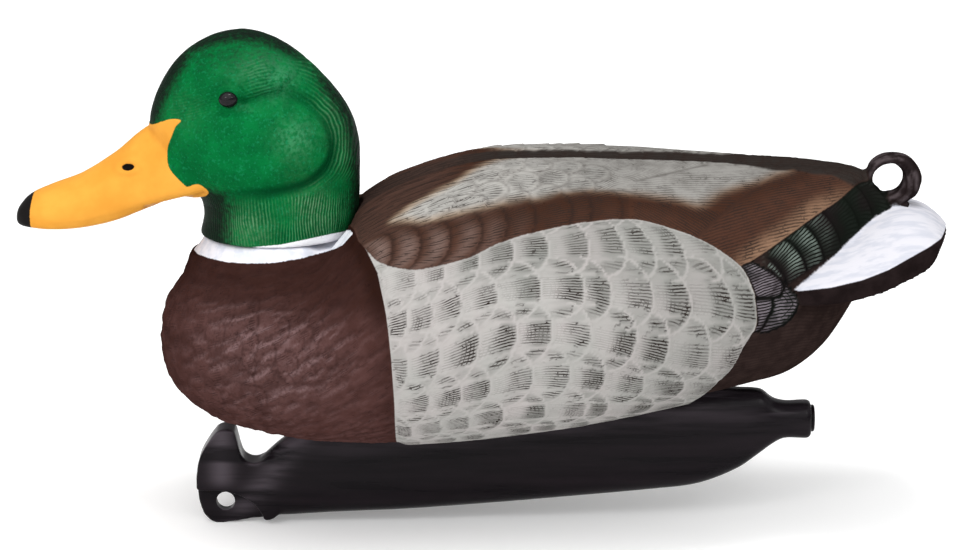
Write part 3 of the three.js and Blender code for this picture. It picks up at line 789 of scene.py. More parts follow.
def flank_feathers(coat):
    """Big soft scallops; towards the rear they follow the rounded outline."""
    x, w, on_flank = coat.x, coat.w, coat.on_flank
    rearward = smoothstep(20, 105, x)
    v = w - 116 + 3 * np.sin(x / 17) + 3 * coat.cloud(30, 51)
    v = v * (1 - 0.28 * rearward * smoothstep(8, -8, v))
    above, below = np.clip(100 - w, 0, 60), np.clip(w - 116, 0, 90)
    u = x + (0.003 + 0.009 * rearward) * above**2 + 13 * rearward * (below / 50) ** 2
    u = (u + 0.06 * (w - 116) + 2 * coat.cloud(24, 53)) * (1 + 0.2 * smoothstep(10, -45, x))
    reach = 15.3
    own, behind, across, chance = feathers(
        u, v, pitch=16.5, rows=21.5, depth=12, reach=reach, seed=11, jitter=0.35
    )
    coat.height += on_flank * (feather_relief(own, 16, 0.4) + 1.5 * smoothstep(0, 5, coat.flank))
    fringe = smoothstep(0.9, 1.7, own + 0.35 * coat.cloud(3, 5))
    inked = 15.5 * (1 - 0.7 * across**2) + 2.5 * coat.cloud(6, 19)
    fade = smoothstep(1, 0.4, own / np.maximum(inked, 0.5))
    ink = fringe * np.maximum(fade, 0.2 * smoothstep(0.95, 0.7, np.abs(across)))
    ink *= smoothstep(4.5, 9, own + behind)
    ink *= 0.84 + 0.5 * chance + 0.3 * smoothstep(110, 165, w) - 0.35 * smoothstep(95, 75, w)
    fan_out = 1 + np.minimum(own, 13) / 60
    coat.draw(on_flank, ink, across * reach * fan_out / 1.38 + 9 * chance, own / 1.7)
    heavy = (chance > 0.45) * smoothstep(-30, 20, x) * bell(own - 5, 3.6) * (1 - across**2)
    tint = 0.5 * smoothstep(100, 70, w) * smoothstep(-40, 10, x) + 0.4 * smoothstep(30, 90, x)
    coat.shade += on_flank * (0.6 * heavy + 0.35 * fade) * fringe
    coat.shade += on_flank * np.minimum(tint, 0.6) * (0.55 + 0.45 * fringe)
    # Painted shade just behind each feather's free edge.
    coat.groove += on_flank * 0.12 * bell(behind, 0.9)


def breast_feathers(coat):
    """Fine low scallops wrapped round the chest, broken up by small folds, with painted shade in the
    creases and a painted highlight on the upper sides of the folds.
    """
    x, z, on_breast = coat.x, coat.z, coat.on_breast
    ahead, rise = x + 60, z - 92
    turn = np.arctan2(coat.side, -ahead) * 85
    lean = np.arctan2(rise, np.hypot(ahead, coat.side)) * 85
    u, v = turn + 0.3 * lean, lean - turn * (0.04 + 0.0025 * turn)
    reach = 7.6
    own, behind, across, _ = feathers(
        u, v, pitch=15, rows=9.5, depth=7, reach=reach, seed=23, jitter=0.6
    )
    soft = 0.3 + 0.7 * smoothstep(-0.3, 0.5, coat.cloud(24, 9))

    def folds(lift):
        long_waves = np.stack([u / 10, (v + lift) / 3.6, 0 * x], axis=1)
        short_waves = np.stack([u / 5, (v + lift) / 2.2, 0 * x], axis=1)
        return cloud(long_waves, 1, 91) + 0.5 * cloud(short_waves, 1, 92)

    fold = folds(0)
    lit_side = folds(-0.9) - folds(0.9)
    lit = smoothstep(44, 8, np.hypot((x + 92) * 0.9, z - 102)) * smoothstep(125, 108, z)
    coat.height += on_breast * (feather_relief(own, 12, 0.6) * soft + 0.5 * fold)
    barbs = smoothstep(0.8, 2.5, own) * smoothstep(9, 4, own)
    coat.draw(on_breast, (0.25 + 0.75 * soft) * barbs, across * reach / 1.25)
    # Painted shade in the creases between the folds and behind the feather edges.
    crease = np.maximum(bell(behind - 0.2, 0.9) * soft, 0.8 * bell(fold + 0.22, 0.11))
    coat.groove += on_breast * (crease * (0.45 + 0.4 * lit) + 0.45 * smoothstep(0, -0.9, fold))
    # Painted highlight on the upper sides of the folds, strongest on the front of the chest.
    coat.gloss = on_breast * (0.12 + 0.88 * lit) * (0.35 + 1.25 * smoothstep(-0.1, 0.8, lit_side))


def wing_feathers(coat):
    """A band of rounded coverts above the flank, and long feathers behind them."""
    x, w, on_wing = coat.x, coat.w, coat.on_wing
    band = w - np.interp(x, [-40, -20, 4, 28, 55], [57, 62, 61, 55, 50])
    reach = 13
    own, behind, across, _ = feathers(
        x, band, pitch=12.5, rows=46, depth=9.5, reach=reach, seed=31, jitter=0.4
    )
    coverts = on_wing * (1 - smoothstep(55, 75, x)) * smoothstep(-13, -9, band)
    coat.height += coverts * feather_relief(own, 12, 1.1)
    # Painted shade behind each covert's free end.
    coat.groove += coverts * bell(behind - 0.4, 1) * 1.2
    coat.coverts, coat.covert_end = coverts, bell(own - 4.5, 4) * (1 - 0.6 * across**2)
    ink = 0.8 + 0.3 * coat.cloud(9, 14) - 0.35 * smoothstep(-2, 5, coat.grey)
    past_first = w - 30 > -0.6 * (x - 70)
    past_second = w - 60 > -1.15 * (x - 94)
    slope = np.where(past_second, -0.45, np.where(past_first & (w < 44), -0.12, 0.5))
    slant = slope * (x - 80) * smoothstep(50, 66, x)
    coat.draw(on_wing, ink, (w - slant + 1.5 * coat.cloud(30, 4)) / 1.45, x / 1.9)
    spread = across * reach * (1 + np.minimum(own, 14) / 40)
    coat.draw(coverts, coat.ink, spread / 1.4)


def scapulars_and_quills(coat):
    """Round feathers over the shoulder, and the quills of the long feathers."""
    x, w, on_wing = coat.x, coat.w, coat.on_wing
    scales = np.zeros(len(x))
    for cx, cw, size in SCAPULARS:
        s = (x - cx) / size
        r = np.hypot(s, (w - cw) / (0.9 * size))
        scale = on_wing * smoothstep(1.08, 0.94, r)
        coat.height += scale * (0.35 + 0.35 * s)
        # Painted shade round the outline of each scapular.
        coat.groove += on_wing * 0.55 * bell((r - 1.06) * size, 0.7) * smoothstep(-0.7, 0.2, s)
        ragged = smoothstep(0.92, 0.6, r + 0.15 * coat.cloud(3, 6))
        scales = np.maximum(scales, 0.75 * scale * ragged)
        lines = (cw + (w - cw) * 7 / (7 + 3 * s)) / 1.4
        coat.draw(scale, np.maximum(coat.ink * 0.4, scales), lines)
    coat.shade += 0.4 * scales
    for shaft in SHAFTS:
        away = line_distance(x, w, shaft)
        # Painted shade along each quill's groove.
        coat.groove += on_wing * 0.75 * bell(away, 0.8)
        coat.height -= on_wing * 0.45 * bell(away, 1.3)


def back_feathers(coat):
    """The wings meet in a valley along the back, and the mantle has long sweeping grooves."""
    x, w, side, on_wing = coat.x, coat.w, coat.side, coat.on_wing
    valley_width = np.interp(x, [-55, 0, 60, 120, 165, 180], [9, 9, 9, 7, 4, 3])
    valley_depth = np.interp(x, [-54, -46, 0, 60, 120, 160, 172], [0, 3.2, 4.4, 4.2, 3.4, 1.5, 0])
    coat.height -= valley_depth * bell(side, valley_width) * (coat.z > 140)
    sweep = on_wing * smoothstep(14, -10, x) * smoothstep(-56, -50, x)
    crease = [(-56, 21), (-36, 19.2), (-14, 17.2), (12, 14)]
    wander = 0.8 * coat.cloud(14, 21)
    for shift, depth in ((0, 1.1), (-6.5, 0.7), (5.5, 0.5), (11, 0.45)):
        away = line_distance(x, w - shift + wander, crease)
        coat.height -= sweep * depth * bell(away, 1.4)
        # Painted shade along the mantle's grooves.
        coat.groove += sweep * min(depth, 0.8) * bell(away, 1)
    strands = np.sin(2 * np.pi * (w + 0.15 * x + 2.5 * coat.cloud(16, 61)) / 3.6)
    coat.height += sweep * (0.22 * strands + 0.8 * (1 - smoothstep(10, 22, w)))
    coat.draw(sweep, 0.5 + 0.5 * strands, coat.phase)

    own, behind, _, _ = feathers(
        x, side, pitch=11, rows=6, depth=6, reach=5, seed=71, jitter=0.6
    )
    middle = on_wing * smoothstep(-25, 5, x) * smoothstep(15, 11, side) * (coat.z > 140)
    coat.height += middle * feather_relief(own, 11, 0.7)
    # Painted shade behind the free ends of the feathers along the back.
    coat.groove += middle * 0.9 * bell(behind - 0.2, 0.9)


def rump_feathers(coat):
    """Dark scalloped coverts between the wing tips and the tail, and a few large feathers."""
    x, w, on_rear = coat.x, coat.w, coat.on_rear
    strip = 0.72 * x + 0.69 * (w - 60)
    forward = 0.72 * x - 0.69 * (w - 60) - 102.5
    reach = 9.8
    own, behind, across, _ = feathers(
        forward, strip - 98.5, pitch=12.8, rows=30, depth=6, reach=reach, seed=43, jitter=0.12
    )
    upper = on_rear * smoothstep(107, 105, strip) * smoothstep(122, 128, x)
    upper = upper * np.where(x > 138, smoothstep(-4, -1, coat.z - fan_value(x, 2)), 1)
    coat.height += upper * (feather_relief(own, 12, 1.3) - 1.2) - 1.2 * (on_rear - upper)
    calm = 1 - 0.97 * smoothstep(144, 158, x)
    ink = smoothstep(0.8, 2, own) * smoothstep(12, 4, own) * (1 - across**2) * calm
    bare = smoothstep(0.72, 0.85, np.abs(across)) * (0.35 + 0.65 * calm)
    spread = across * reach * (1 + 0.03 * np.minimum(own, 14))
    lines = choose((w + 0.5 * x) / 1.9, spread / 1.3, upper)
    coat.draw(on_rear, choose(0.3, np.maximum(ink, 0.55 * bare), upper), lines, own / 1.9)
    # Painted shade behind the rump feathers' free ends.
    coat.groove += upper * bell(behind, 0.9) * (0.2 + 0.8 * calm)
    coat.plum = upper * bare
    for outline, lift, tilt, gap in RUMP_FEATHERS:
        within = inside_distance(x, w, outline, 3)
        feather = on_rear * (within > 0)
        coat.height += feather * lift * smoothstep(0, 1.5, within)
        # Painted shade round the outline of each large feather.
        coat.groove = choose(coat.groove, bell(within - 0.2, 0.6), feather)
        coat.plum = choose(coat.plum, 1, feather)
        upper = np.maximum(upper, feather)
        ink = smoothstep(0.8, 1.6, within) * smoothstep(112, 120, x)
        coat.draw(feather, ink, (tilt * x + w) / gap, within / 2.2)
    coat.upper = upper


def carve(coat, verts, quads):
    """The body's vertices with their relief, kept clear of the head."""
    x, z, plain = coat.x, coat.z, coat.plain
    on_loop = coat.tail * smoothstep(150, 153, z) * (coat.side < 9)
    around = np.arctan2(z - LOOP_HOLE_Z, x - LOOP_HOLE_X)
    from_hole = np.hypot(x - LOOP_HOLE_X, z - LOOP_HOLE_Z)
    curl = np.sin(3 * around + 1.9 * from_hole + 0.5 * coat.side + 2.5 * coat.cloud(6, 33))
    # The loop's raised curls are paler: partly wear, partly painted highlight.
    coat.worn = on_loop * (0.5 + 0.5 * curl)

    # Small irregularities of a hand-carved master.
    height = coat.height * (1 - plain)
    height += 0.16 * coat.cloud(14, 2) * (1 - 0.6 * plain) + 0.07 * coat.cloud(5, 6)
    height += on_loop * (0.14 * curl + 0.2 * coat.cloud(4, 8))
    verts = verts + vertex_normals(verts, quads) * height[:, None]
    verts[:, 2] -= coat.dip

    # Neck clearance: nothing may stand inside the circle that the head sweeps.
    radius = np.hypot(verts[:, 0] - NECK_X, verts[:, 1])
    clear = NECK_SWEEP_RADIUS + 0.4
    inside = (verts[:, 2] > NECK_Z - PART_GAP - 0.2) & (radius < clear) & (verts[:, 0] > NECK_X)
    push = np.where(inside & (radius > NECK_RADIUS + 0.5), clear / radius, 1)
    verts[:, 0] = NECK_X + (verts[:, 0] - NECK_X) * push
    verts[:, 1] *= push
    over = np.hypot(verts[:, 0] - NECK_X, verts[:, 1]) < NECK_RADIUS + 0.5
    over &= verts[:, 2] > 130
    verts[over, 2] = np.minimum(verts[over, 2], NECK_Z - PART_GAP)
    return verts


def spray_colours(coat):
    """Soft sprayed colours of the wings and back, one for each vertex, with the coverts' ends paler,
    partly paint and partly painted highlight.
    """
    x, side, coverts = coat.x, coat.side, coat.coverts
    edge = coat.grey + 1.5 * coat.cloud(12, 8)
    front = smoothstep(30, -25, x)
    lit = smoothstep(-9, -0.5, coat.rear - 0.6 * coat.cloud(10, 41)) * smoothstep(104, 122, x)
    mantle = smoothstep(2, -26, x) * (1 - smoothstep(-4, 2, edge)) * (1 - coverts)
    stripe_edge = np.interp(x, [-60, -20, 20, 60, 110, 130, 165], [15, 9.5, 8.5, 8, 9, 13, 12])
    stripe_edge += 1.5 * np.abs(np.sin(x / 5.5)) * smoothstep(105, 120, x)
    stripe = smoothstep(1.2, -1, side - stripe_edge - 0.8 * coat.cloud(4, 12)) * coat.on_wing
    coat.draw(stripe, 0.9, (side + 1.5 * coat.cloud(12, 17)) / 1.9)

    paint = np.tile(WING_BROWN, (len(x), 1))
    for tint, amount in (
        (WING_DEEP, 0.55 * coverts * (1 - front)),
        # Paler covert ends: partly the paint's pattern, partly painted highlight.
        (COVERT_EDGE_AND_HIGHLIGHT, coverts * coat.covert_end * (0.03 + 0.77 * front) * 0.8),
        (WING_DEEP, bell(edge + 5, 5) * 0.7),
        (TAN_EDGE, lit * 0.8 * smoothstep(14, 38, coat.w)),
        (CREAM, smoothstep(-3.5, 2.5, edge) * (0.35 + 0.55 * front)),
        (WING_GREY, smoothstep(-1, 6, edge)),
        (BLACK, 0.3 * smoothstep(10, 60, x) * smoothstep(-1, 6, edge)),
        (MANTLE_BROWN, mantle * 0.9),
        (STRIPE_DARK, stripe * (0.5 + 0.5 * smoothstep(-25, 8, x))),
    ):
        paint += (np.array(tint) - paint) * amount[:, None]
    return paint


def make_body(material):
    verts, quads = body_form()
    coat = Coat(verts)
    mark_regions(coat)
    for add_feathers in (
        flank_feathers, breast_feathers, wing_feathers, scapulars_and_quills, back_feathers,
        rump_feathers,
    ):
        add_feathers(coat)
    verts = carve(coat, verts, quads)
    paint = spray_colours(coat)
    ink = hide_jumps(np.clip(coat.ink * (1 - coat.plain), 0, 1), coat.phase, quads)
    # Painted shade on the breast: darker under the head, towards the front and near its border.
    dusk = 0.7 * smoothstep(106, 128, verts[:, 2]) + 0.3 * smoothstep(-122, -142, coat.x)
    dusk += 0.35 * smoothstep(9, 1, coat.breast)
    body = mesh_object("body_painted", verts, quads.tolist())
    finish(body, material, "body", "body_shell")
    store(
        body, flank=coat.flank, rear=np.where((coat.proud > 1) & (coat.x > 120), 9, coat.rear),
        breast=coat.breast, white=coat.white, collar=coat.collar, ink=ink, phase=coat.phase,
        cross=coat.cross, groove=np.clip(coat.groove, 0, 1) * (1 - coat.plain),
        shade=np.clip(coat.shade, 0, 1), paint=paint, tail=coat.tail,
        upper=np.clip(coat.upper, 0, 1), dusk=np.clip(dusk, 0, 1), plum=coat.plum,
        worn=coat.worn, gloss=coat.gloss,
    )


# ---- Head -------------------------------------------------------------------------------------


class Head(Surface):
    """The head's surface, and its regions as distances inside their outlines."""

    def __init__(self, verts):
        super().__init__(verts)
        self.bill = inside_distance(self.x, self.z, BILL_OUTLINE)
        self.cheek = inside_distance(self.x, self.z, CHEEK_OUTLINE)
        self.on_bill = smoothstep(-0.4, 0.4, self.bill)
        self.flat = smoothstep(6, 14, self.side)
        self.back = smoothstep(-128, -100, self.x)

    def blobs(self, *rows):
        """Soft oval spots on both sides: strength, x, z, two radii, and an angle in degrees."""
        total = 0
        for strength, cx, cz, rx, rz, angle in rows:
            c, s = math.cos(math.radians(angle)), math.sin(math.radians(angle))
            a = (self.x - cx) * c + (self.z - cz) * s
            b = -(self.x - cx) * s + (self.z - cz) * c
            total += strength * np.exp(-((a / rx) ** 2 + (b / rz) ** 2)) * self.flat
        return total


def face_relief(head):
    """Cheek, brow, folds behind the eye and before it, and the eye's socket."""
    on_skull = head.flat * (1 - head.on_bill)
    head.height += on_skull * 1.9 * smoothstep(-1, 9, head.cheek) * (0.35 + 0.65 * head.back)
    head.height -= on_skull * 1.5 * bell(head.cheek + 1.8, 2.4) * head.back
    head.height += head.blobs(
        (1.5, -97, 213, 15, 7, 8), (0.9, -88.3, 211.5, 6, 2.4, 48),
        (-0.8, -91.6, 214, 6, 0.9, 52), (-0.8, -86, 208.6, 6.5, 0.9, 40),
        (-0.7, -101, 204.5, 9, 1.4, 12), (-1.5, -122, 200.5, 14, 4.5, 10),
        (0.7, -97, 186, 13, 10, 0), (-0.35, -109, 189.3, 1.8, 0.6, 25),
        (-0.6, EYE_X + 7, EYE_Z - 0.6, 3.2, 0.9, 8),
    )
    from_eye = np.hypot(head.x - EYE_X, head.z - EYE_Z)
    rim = bell(from_eye - 4.4, 0.8) - 1.3 * bell(from_eye - 6.3, 2)
    head.height += rim * head.flat * (head.z > 190)


def comb_feathers(head):
    """Hair-like ribs sweep round the cheek and run down the neck."""
    x, z, cheek = head.x, head.z, head.cheek
    down_neck = np.abs(np.arctan2(head.y, x - NECK_X)) * 33
    swept = -cheek + 0.6 * head.cloud(16, 3)
    combed = -down_neck + 0.1 * (z - 150) * smoothstep(-80, -110, x) + 1.6 * head.cloud(15, 5)
    head.rib = choose(swept, combed, smoothstep(166, 161, z))
    head.lap = follow(x, NECK_LAP) + RING_LEAN * head.side - z
    strength = smoothstep(0.5, 3, -cheek) * (0.25 + 0.75 * smoothstep(-112, -90, x))
    strength = strength * (0.35 + 0.65 * smoothstep(228, 205, z))
    strength = np.maximum(strength, 0.7 * smoothstep(166, 154, z)) * smoothstep(0.3, -0.5, head.lap)
    strength = strength * (1 - smoothstep(-1, 0, head.bill)) * (1 - bell(z - 163.5, 3))
    head.strength = strength * (0.3 + 0.55 * smoothstep(-0.4, 0.5, head.cloud(11, 29)))
    coarse = 0.1 * np.sin(2 * np.pi * head.rib / 2.9) * smoothstep(0.5, 3, -cheek) * head.back
    head.height += coarse * (1 - head.on_bill) * head.strength


def bill_relief(head):
    """Lip along the bill's edge, nostril, and the creases above the lower edge."""
    x, z, side, on_bill = head.x, head.z, head.side, head.on_bill
    head.height += on_bill * 0.55 * smoothstep(6, 0.5, head.bill)
    nx, nz = x + 157.5, z - 170.2
    head.nostril = np.where(side > 5, np.hypot(nx / 3.1, (nz - 0.12 * nx) / 1.55), 9)
    rim = bell(np.maximum(head.nostril - 1, 0) - 0.6, 0.6) * (head.nostril > 0.9)
    head.height += 0.9 * rim - smoothstep(1.05, 0.6, head.nostril)
    crease = line_distance(x, z, [(-123, 160.5), (-131, 157.2), (-140, 154), (-150, 151.5)])
    lip = line_distance(x, z, [(-203, 145.5), (-190, 144), (-176, 145), (-163, 148.5), (-150, 153)])
    head.height -= on_bill * (0.7 * bell(crease, 1.1) + 0.25 * bell(lip, 1.2)) * (side > 8)
    # Where painted shade lies along the bill's crease.
    head.crease = bell(crease, 0.8) * (side > 8)


def carve_head(head, verts, quads):
    """The head's vertices with their relief."""
    height = head.height * smoothstep(139.5, 142, head.z)
    height += 0.06 * head.cloud(4, 7) + 0.1 * head.cloud(11, 9)
    shaped = verts + vertex_normals(verts, quads) * height[:, None]

    # The foot flares out to the collar, and stays above its joint plane.
    flare = np.clip((153 - head.z) / 15, 0, 1) * (0.2 + 0.8 * smoothstep(-88, -116, head.x))
    flare = 0.085 * flare * (head.from_neck < 50)
    shaped[:, 0] += (shaped[:, 0] - NECK_X) * flare
    shaped[:, 1] += shaped[:, 1] * flare
    shaped[:, 2] = np.maximum(shaped[:, 2], NECK_Z)
    return shaped


def make_head(material):
    skull = mesh_object("skull", *loft_z(HEAD_RINGS, 110, 110))
    beak = mesh_object("bill", *loft_x(BILL_RINGS, 90, 80, 2, 3))
    verts, quads = melt([skull, beak], HEAD_VOXEL, 8)
    head = Head(verts)
    face_relief(head)
    comb_feathers(head)
    bill_relief(head)
    x, z, side = head.x, head.z, head.side

    # Paint: painted highlights on the lid, brow and cheek, paler patches that are partly wear and
    # partly painted highlight, and black over the crown, chin and nape.
    glow = head.blobs(
        (0.8, EYE_X + 6.5, EYE_Z - 3, 5, 1.6, -10), (1, -88, 211, 9, 7, 40),
        (1, -82, 187.5, 8.5, 7.5, 0), (0.7, -99, 217, 13, 6, 8),
    )
    worn = head.blobs(
        (0.3, -133, 196, 10, 9, 0), (0.35, -82, 183, 7, 10, 15), (0.3, -101, 217, 9, 5, 10),
        (1, -103, 146, 11, 9, 0), (1, -74, 154, 9, 15, 20), (0.6, -64, 186, 5, 18, 15),
    )
    # Black sprayed over the forehead, crown, chin and nape; where it darkens the head's outline and
    # under the chin it is partly painted shade.
    black_areas = [
        smoothstep(22, 6, side) * smoothstep(-116, -138, x) * smoothstep(180, 194, z),
        0.85 * smoothstep(205, 226, z) * smoothstep(20, 5, side),
        0.9 * smoothstep(-100, -120, x) * smoothstep(168, 158, z),
        0.8 * smoothstep(24, 6, side) * smoothstep(-88, -64, x),
        0.35 * smoothstep(206, 222, z),
    ]
    # Where painted shade falls in the crease round the cheek, deepest below and behind it.
    fold = head.flat * smoothstep(-126, -88, x) * (0.4 + 0.5 * smoothstep(200, 180, z))
    painted = mesh_object("head_painted", carve_head(head, verts, quads), quads.tolist())
    finish(painted, material, "head", "head_shell")
    store(
        painted, bill=head.bill, nail=-201.2 - x - 0.006 * head.y**2, nostril=1 - head.nostril,
        rib=head.rib, strength=head.strength, glow=np.clip(glow, 0, 1), lap=head.lap,
        black=np.clip(np.max(black_areas, axis=0), 0, 1), cheek=head.cheek,
        worn=np.clip(worn, 0, 1), fold=fold, crease=head.crease,
    )


def make_eye(name, node, outward, material):
    """Domed eye in its socket, slightly wider than tall; outward is -1 or 1."""
    low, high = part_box(node)
    face = (low.y if outward < 0 else high.y) / MM
    arc = np.linspace(0.02, 1.571, 14)
    dome = [(EYE_RADIUS * math.sin(t), EYE_DOME * math.cos(t)) for t in arc]
    dome += [(EYE_RADIUS, -1.2), (EYE_RADIUS * 0.9, -2.6)]
    profile = [(r, face + outward * (rise - EYE_DOME + EYE_PROUD)) for r, rise in dome]
    eye = mesh_object(name, *turned(profile, (EYE_X, EYE_Z), "Y", 48, EYE_FLATNESS))
    finish(eye, material, "head", node)


# ---- Keel -------------------------------------------------------------------------------------


def screw_box(node):
    """Place along the decoy, lowest and highest point of a screw, in millimetres."""
    low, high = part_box(node)
    return (low.x + high.x) / 2 / MM, low.z / MM, high.z / MM


def make_keel(material):
    bar = mesh_object("bar", *loft_x(KEEL_RINGS, 120, 64, 4, 2.6, top_pinch=0.3))
    hook_plate = side_plate(rounded_outline(HOOK_OUTLINE, 4), HOOK_THICKNESS)
    hook = mesh_object("hook", *hook_plate)
    tab = mesh_object("tab", *side_plate(TAB_STEP, TAB_THICKNESS))
    cut(tab, hook_plate, "INTERSECT")
    for thick in (bar, hook):
        cut(thick, side_plate(TAB_STEP, 60))
    verts, quads = melt([bar, hook], KEEL_VOXEL, 20, 0.6)
    bar = mesh_object("keel_bar", verts, quads.tolist())
    verts, quads = melt([tab], KEEL_VOXEL, 4)
    tab = mesh_object("keel_tab", verts, quads.tolist())
    verts, quads = melt([bar, tab], KEEL_VOXEL, 3)
    verts[:, 2] = np.maximum(verts[:, 2], 0)
    keel = mesh_object("keel_moulded", verts, quads.tolist())
    cut(keel, loft_x(BODY_RINGS, 110, 120, HULL_POWER, HULL_POWER, drop=PART_GAP))
    cut(keel, cross_pin(TIE_HOLE_RADIUS, TIE_HOLE_X, TIE_HOLE_Z))
    for node in ("keel_screw_front", "keel_screw_rear"):
        x, bottom = screw_box(node)[:2]
        recess = [(SCREW_RECESS_RADIUS, -10), (SCREW_RECESS_RADIUS, bottom + SCREW_HEAD_HEIGHT)]
        cut(keel, turned(recess, (x, 0), sides=40))
    finish(keel, material, "body", "keel_shell", 50)

    # Painted highlights on the black plastic: upward faces, the hook and the bar's upper edge.
    spots = read(keel.data.vertices, "co", 3) / MM
    x, z = spots[:, 0], spots[:, 2]
    upward = smoothstep(0.12, 0.75, read(keel.data.vertices, "normal", 3)[:, 2])
    on_hook = smoothstep(-96, -112, x) * smoothstep(16, 24, z)
    keel_highlight = 0.75 * bell(x + 119, 5.5) * on_hook + 0.55 * bell(x - 0.72 * (z - 32) + 92, 7) * (x < -66)
    keel_highlight += 0.22 * bell(z - np.interp(x, [-67, 99], [40, 55]), 7) * smoothstep(-90, -60, x)
    store(keel, edge=np.clip(upward + keel_highlight, 0, 1))


def make_plug(material):
    low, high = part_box("keel_fill_plug")
    start, end = low.x / MM, high.x / MM
    middle, radius = (low.z + high.z) / 2 / MM, (high.z - low.z) / 2 / MM
    profile = [
        (4.3, start), (4.6, start + 0.6), (4.6, end - 1.2), (radius, end - 1.2),
        (radius, end - 0.5), (radius - 0.5, end), (2.4, end), (2, end - 0.7), (0.2, end - 0.7),
    ]
    plug = mesh_object("fill_plug", *turned(profile, (0, middle), "X", 48))
    finish(plug, material, "body", "keel_fill_plug", 40)


def make_screw(name, node, material):
    """Pan-head screw with a cross recess."""
    x, bottom, top = screw_box(node)
    head = 3.9
    profile = [
        (0.3, bottom), (head * 0.55, bottom + 0.1), (head * 0.85, bottom + 0.6),
        (head, bottom + 1.5), (head, bottom + 2.6), (2, bottom + 2.6),
    ]
    for i, z in enumerate(np.arange(bottom + 4, top - 2.5, 0.7)):
        profile.append((1.95 if i % 2 == 0 else 1.45, z))
    profile += [(1.4, top - 2), (0.2, top)]
    screw = mesh_object(name, *turned(profile, (x, 0), sides=32))
    for sx, sy in ((2.1, 0.45), (0.45, 2.1)):
        corners = [
            (x + sx * i, sy * j, bottom + k)
            for k in (-1, 1.3)
            for i, j in ((-1, -1), (1, -1), (1, 1), (-1, 1))
        ]
        walls = [(i, (i + 1) % 4, 4 + (i + 1) % 4, 4 + i) for i in range(4)]
        cut(screw, (corners, [(3, 2, 1, 0), (4, 5, 6, 7)] + walls))
    finish(screw, material, "body", node, 35)


# ---- Materials --------------------------------------------------------------------------------


class Nodes:
    """Short names for building a material's node tree.

    A value is a number, a colour, a node's output, or the name of a number stored on the mesh.
    """

    def __init__(self, name, roughness, specular=0.5):
        self.material = bpy.data.materials.new(name)
        self.material.use_nodes = True
        self.tree = self.material.node_tree
        self.tree.nodes.clear()
        self.shader = self.node("BsdfPrincipled")
        self.inputs = self.shader.inputs
        self.inputs["Roughness"].default_value = roughness
        self.inputs["Specular IOR Level"].default_value = specular
        self.feed(self.shader.outputs[0], self.node("OutputMaterial").inputs["Surface"])
        self.place = self.node("TexCoord").outputs["Object"]

    def node(self, kind):
        return self.tree.nodes.new("ShaderNode" + kind)

    def feed(self, value, socket):
        if isinstance(value, str):
            value = self.attribute(value)
        if isinstance(value, bpy.types.NodeSocket):
            self.tree.links.new(value, socket)
        elif isinstance(value, tuple):
            socket.default_value = (*value, 1) if len(socket.default_value) == 4 else value
        else:
            socket.default_value = value

    def attribute(self, name, output="Fac"):
        node = self.node("Attribute")
        node.attribute_name = name
        return node.outputs[output]

    def math(self, operation, *values):
        node = self.node("Math")
        node.operation = operation
        for value, socket in zip(values, node.inputs):
            self.feed(value, socket)
        return node.outputs[0]

    def times(self, first, *others):
        """Product of two or more values."""
        for other in others:
            first = self.math("MULTIPLY", first, other)
        return first

    def plus(self, value, amount, base):
        """The base with an amount of the value added."""
        return self.math("MULTIPLY_ADD", value, amount, base)

    def wave(self, value, length=1):
        """Sine that repeats after each `length` of the value."""
        return self.math("SINE", self.times(value, 2 * math.pi / length))

    def ramp(self, value, low, high, to_low=0, to_high=1):
        node = self.node("MapRange")
        node.interpolation_type = "SMOOTHSTEP"
        for socket, number in zip(node.inputs, (value, low, high, to_low, to_high)):
            self.feed(number, socket)
        return node.outputs[0]

    def noise(self, scale, detail=3, stretch=None):
        place = self.place
        if stretch:
            mapping = self.node("Mapping")
            self.feed(stretch, mapping.inputs["Scale"])
            self.feed(place, mapping.inputs["Vector"])
            place = mapping.outputs[0]
        node = self.node("TexNoise")
        for name, value in (
            ("Scale", scale), ("Detail", detail), ("Roughness", 0.55), ("Vector", place),
        ):
            self.feed(value, node.inputs[name])
        return node.outputs["Fac"]

    def mix(self, amount, a, b):
        node = self.node("Mix")
        node.data_type = "RGBA"
        for name, value in (("Factor", amount), ("A", a), ("B", b)):
            self.feed(value, node.inputs[name])
        return node.outputs["Result"]

    def bump(self, height, distance, strength=1):
        node = self.node("Bump")
        for name, value in (("Strength", strength), ("Distance", distance * MM), ("Height", height)):
            self.feed(value, node.inputs[name])
        self.feed(node.outputs[0], self.inputs["Normal"])

    def finish(self, color, roughness=None):
        """The finished material, with its colour and any roughness that varies."""
        self.feed(color, self.inputs["Base Color"])
        if roughness:
            self.feed(roughness, self.inputs["Roughness"])
        return self.material


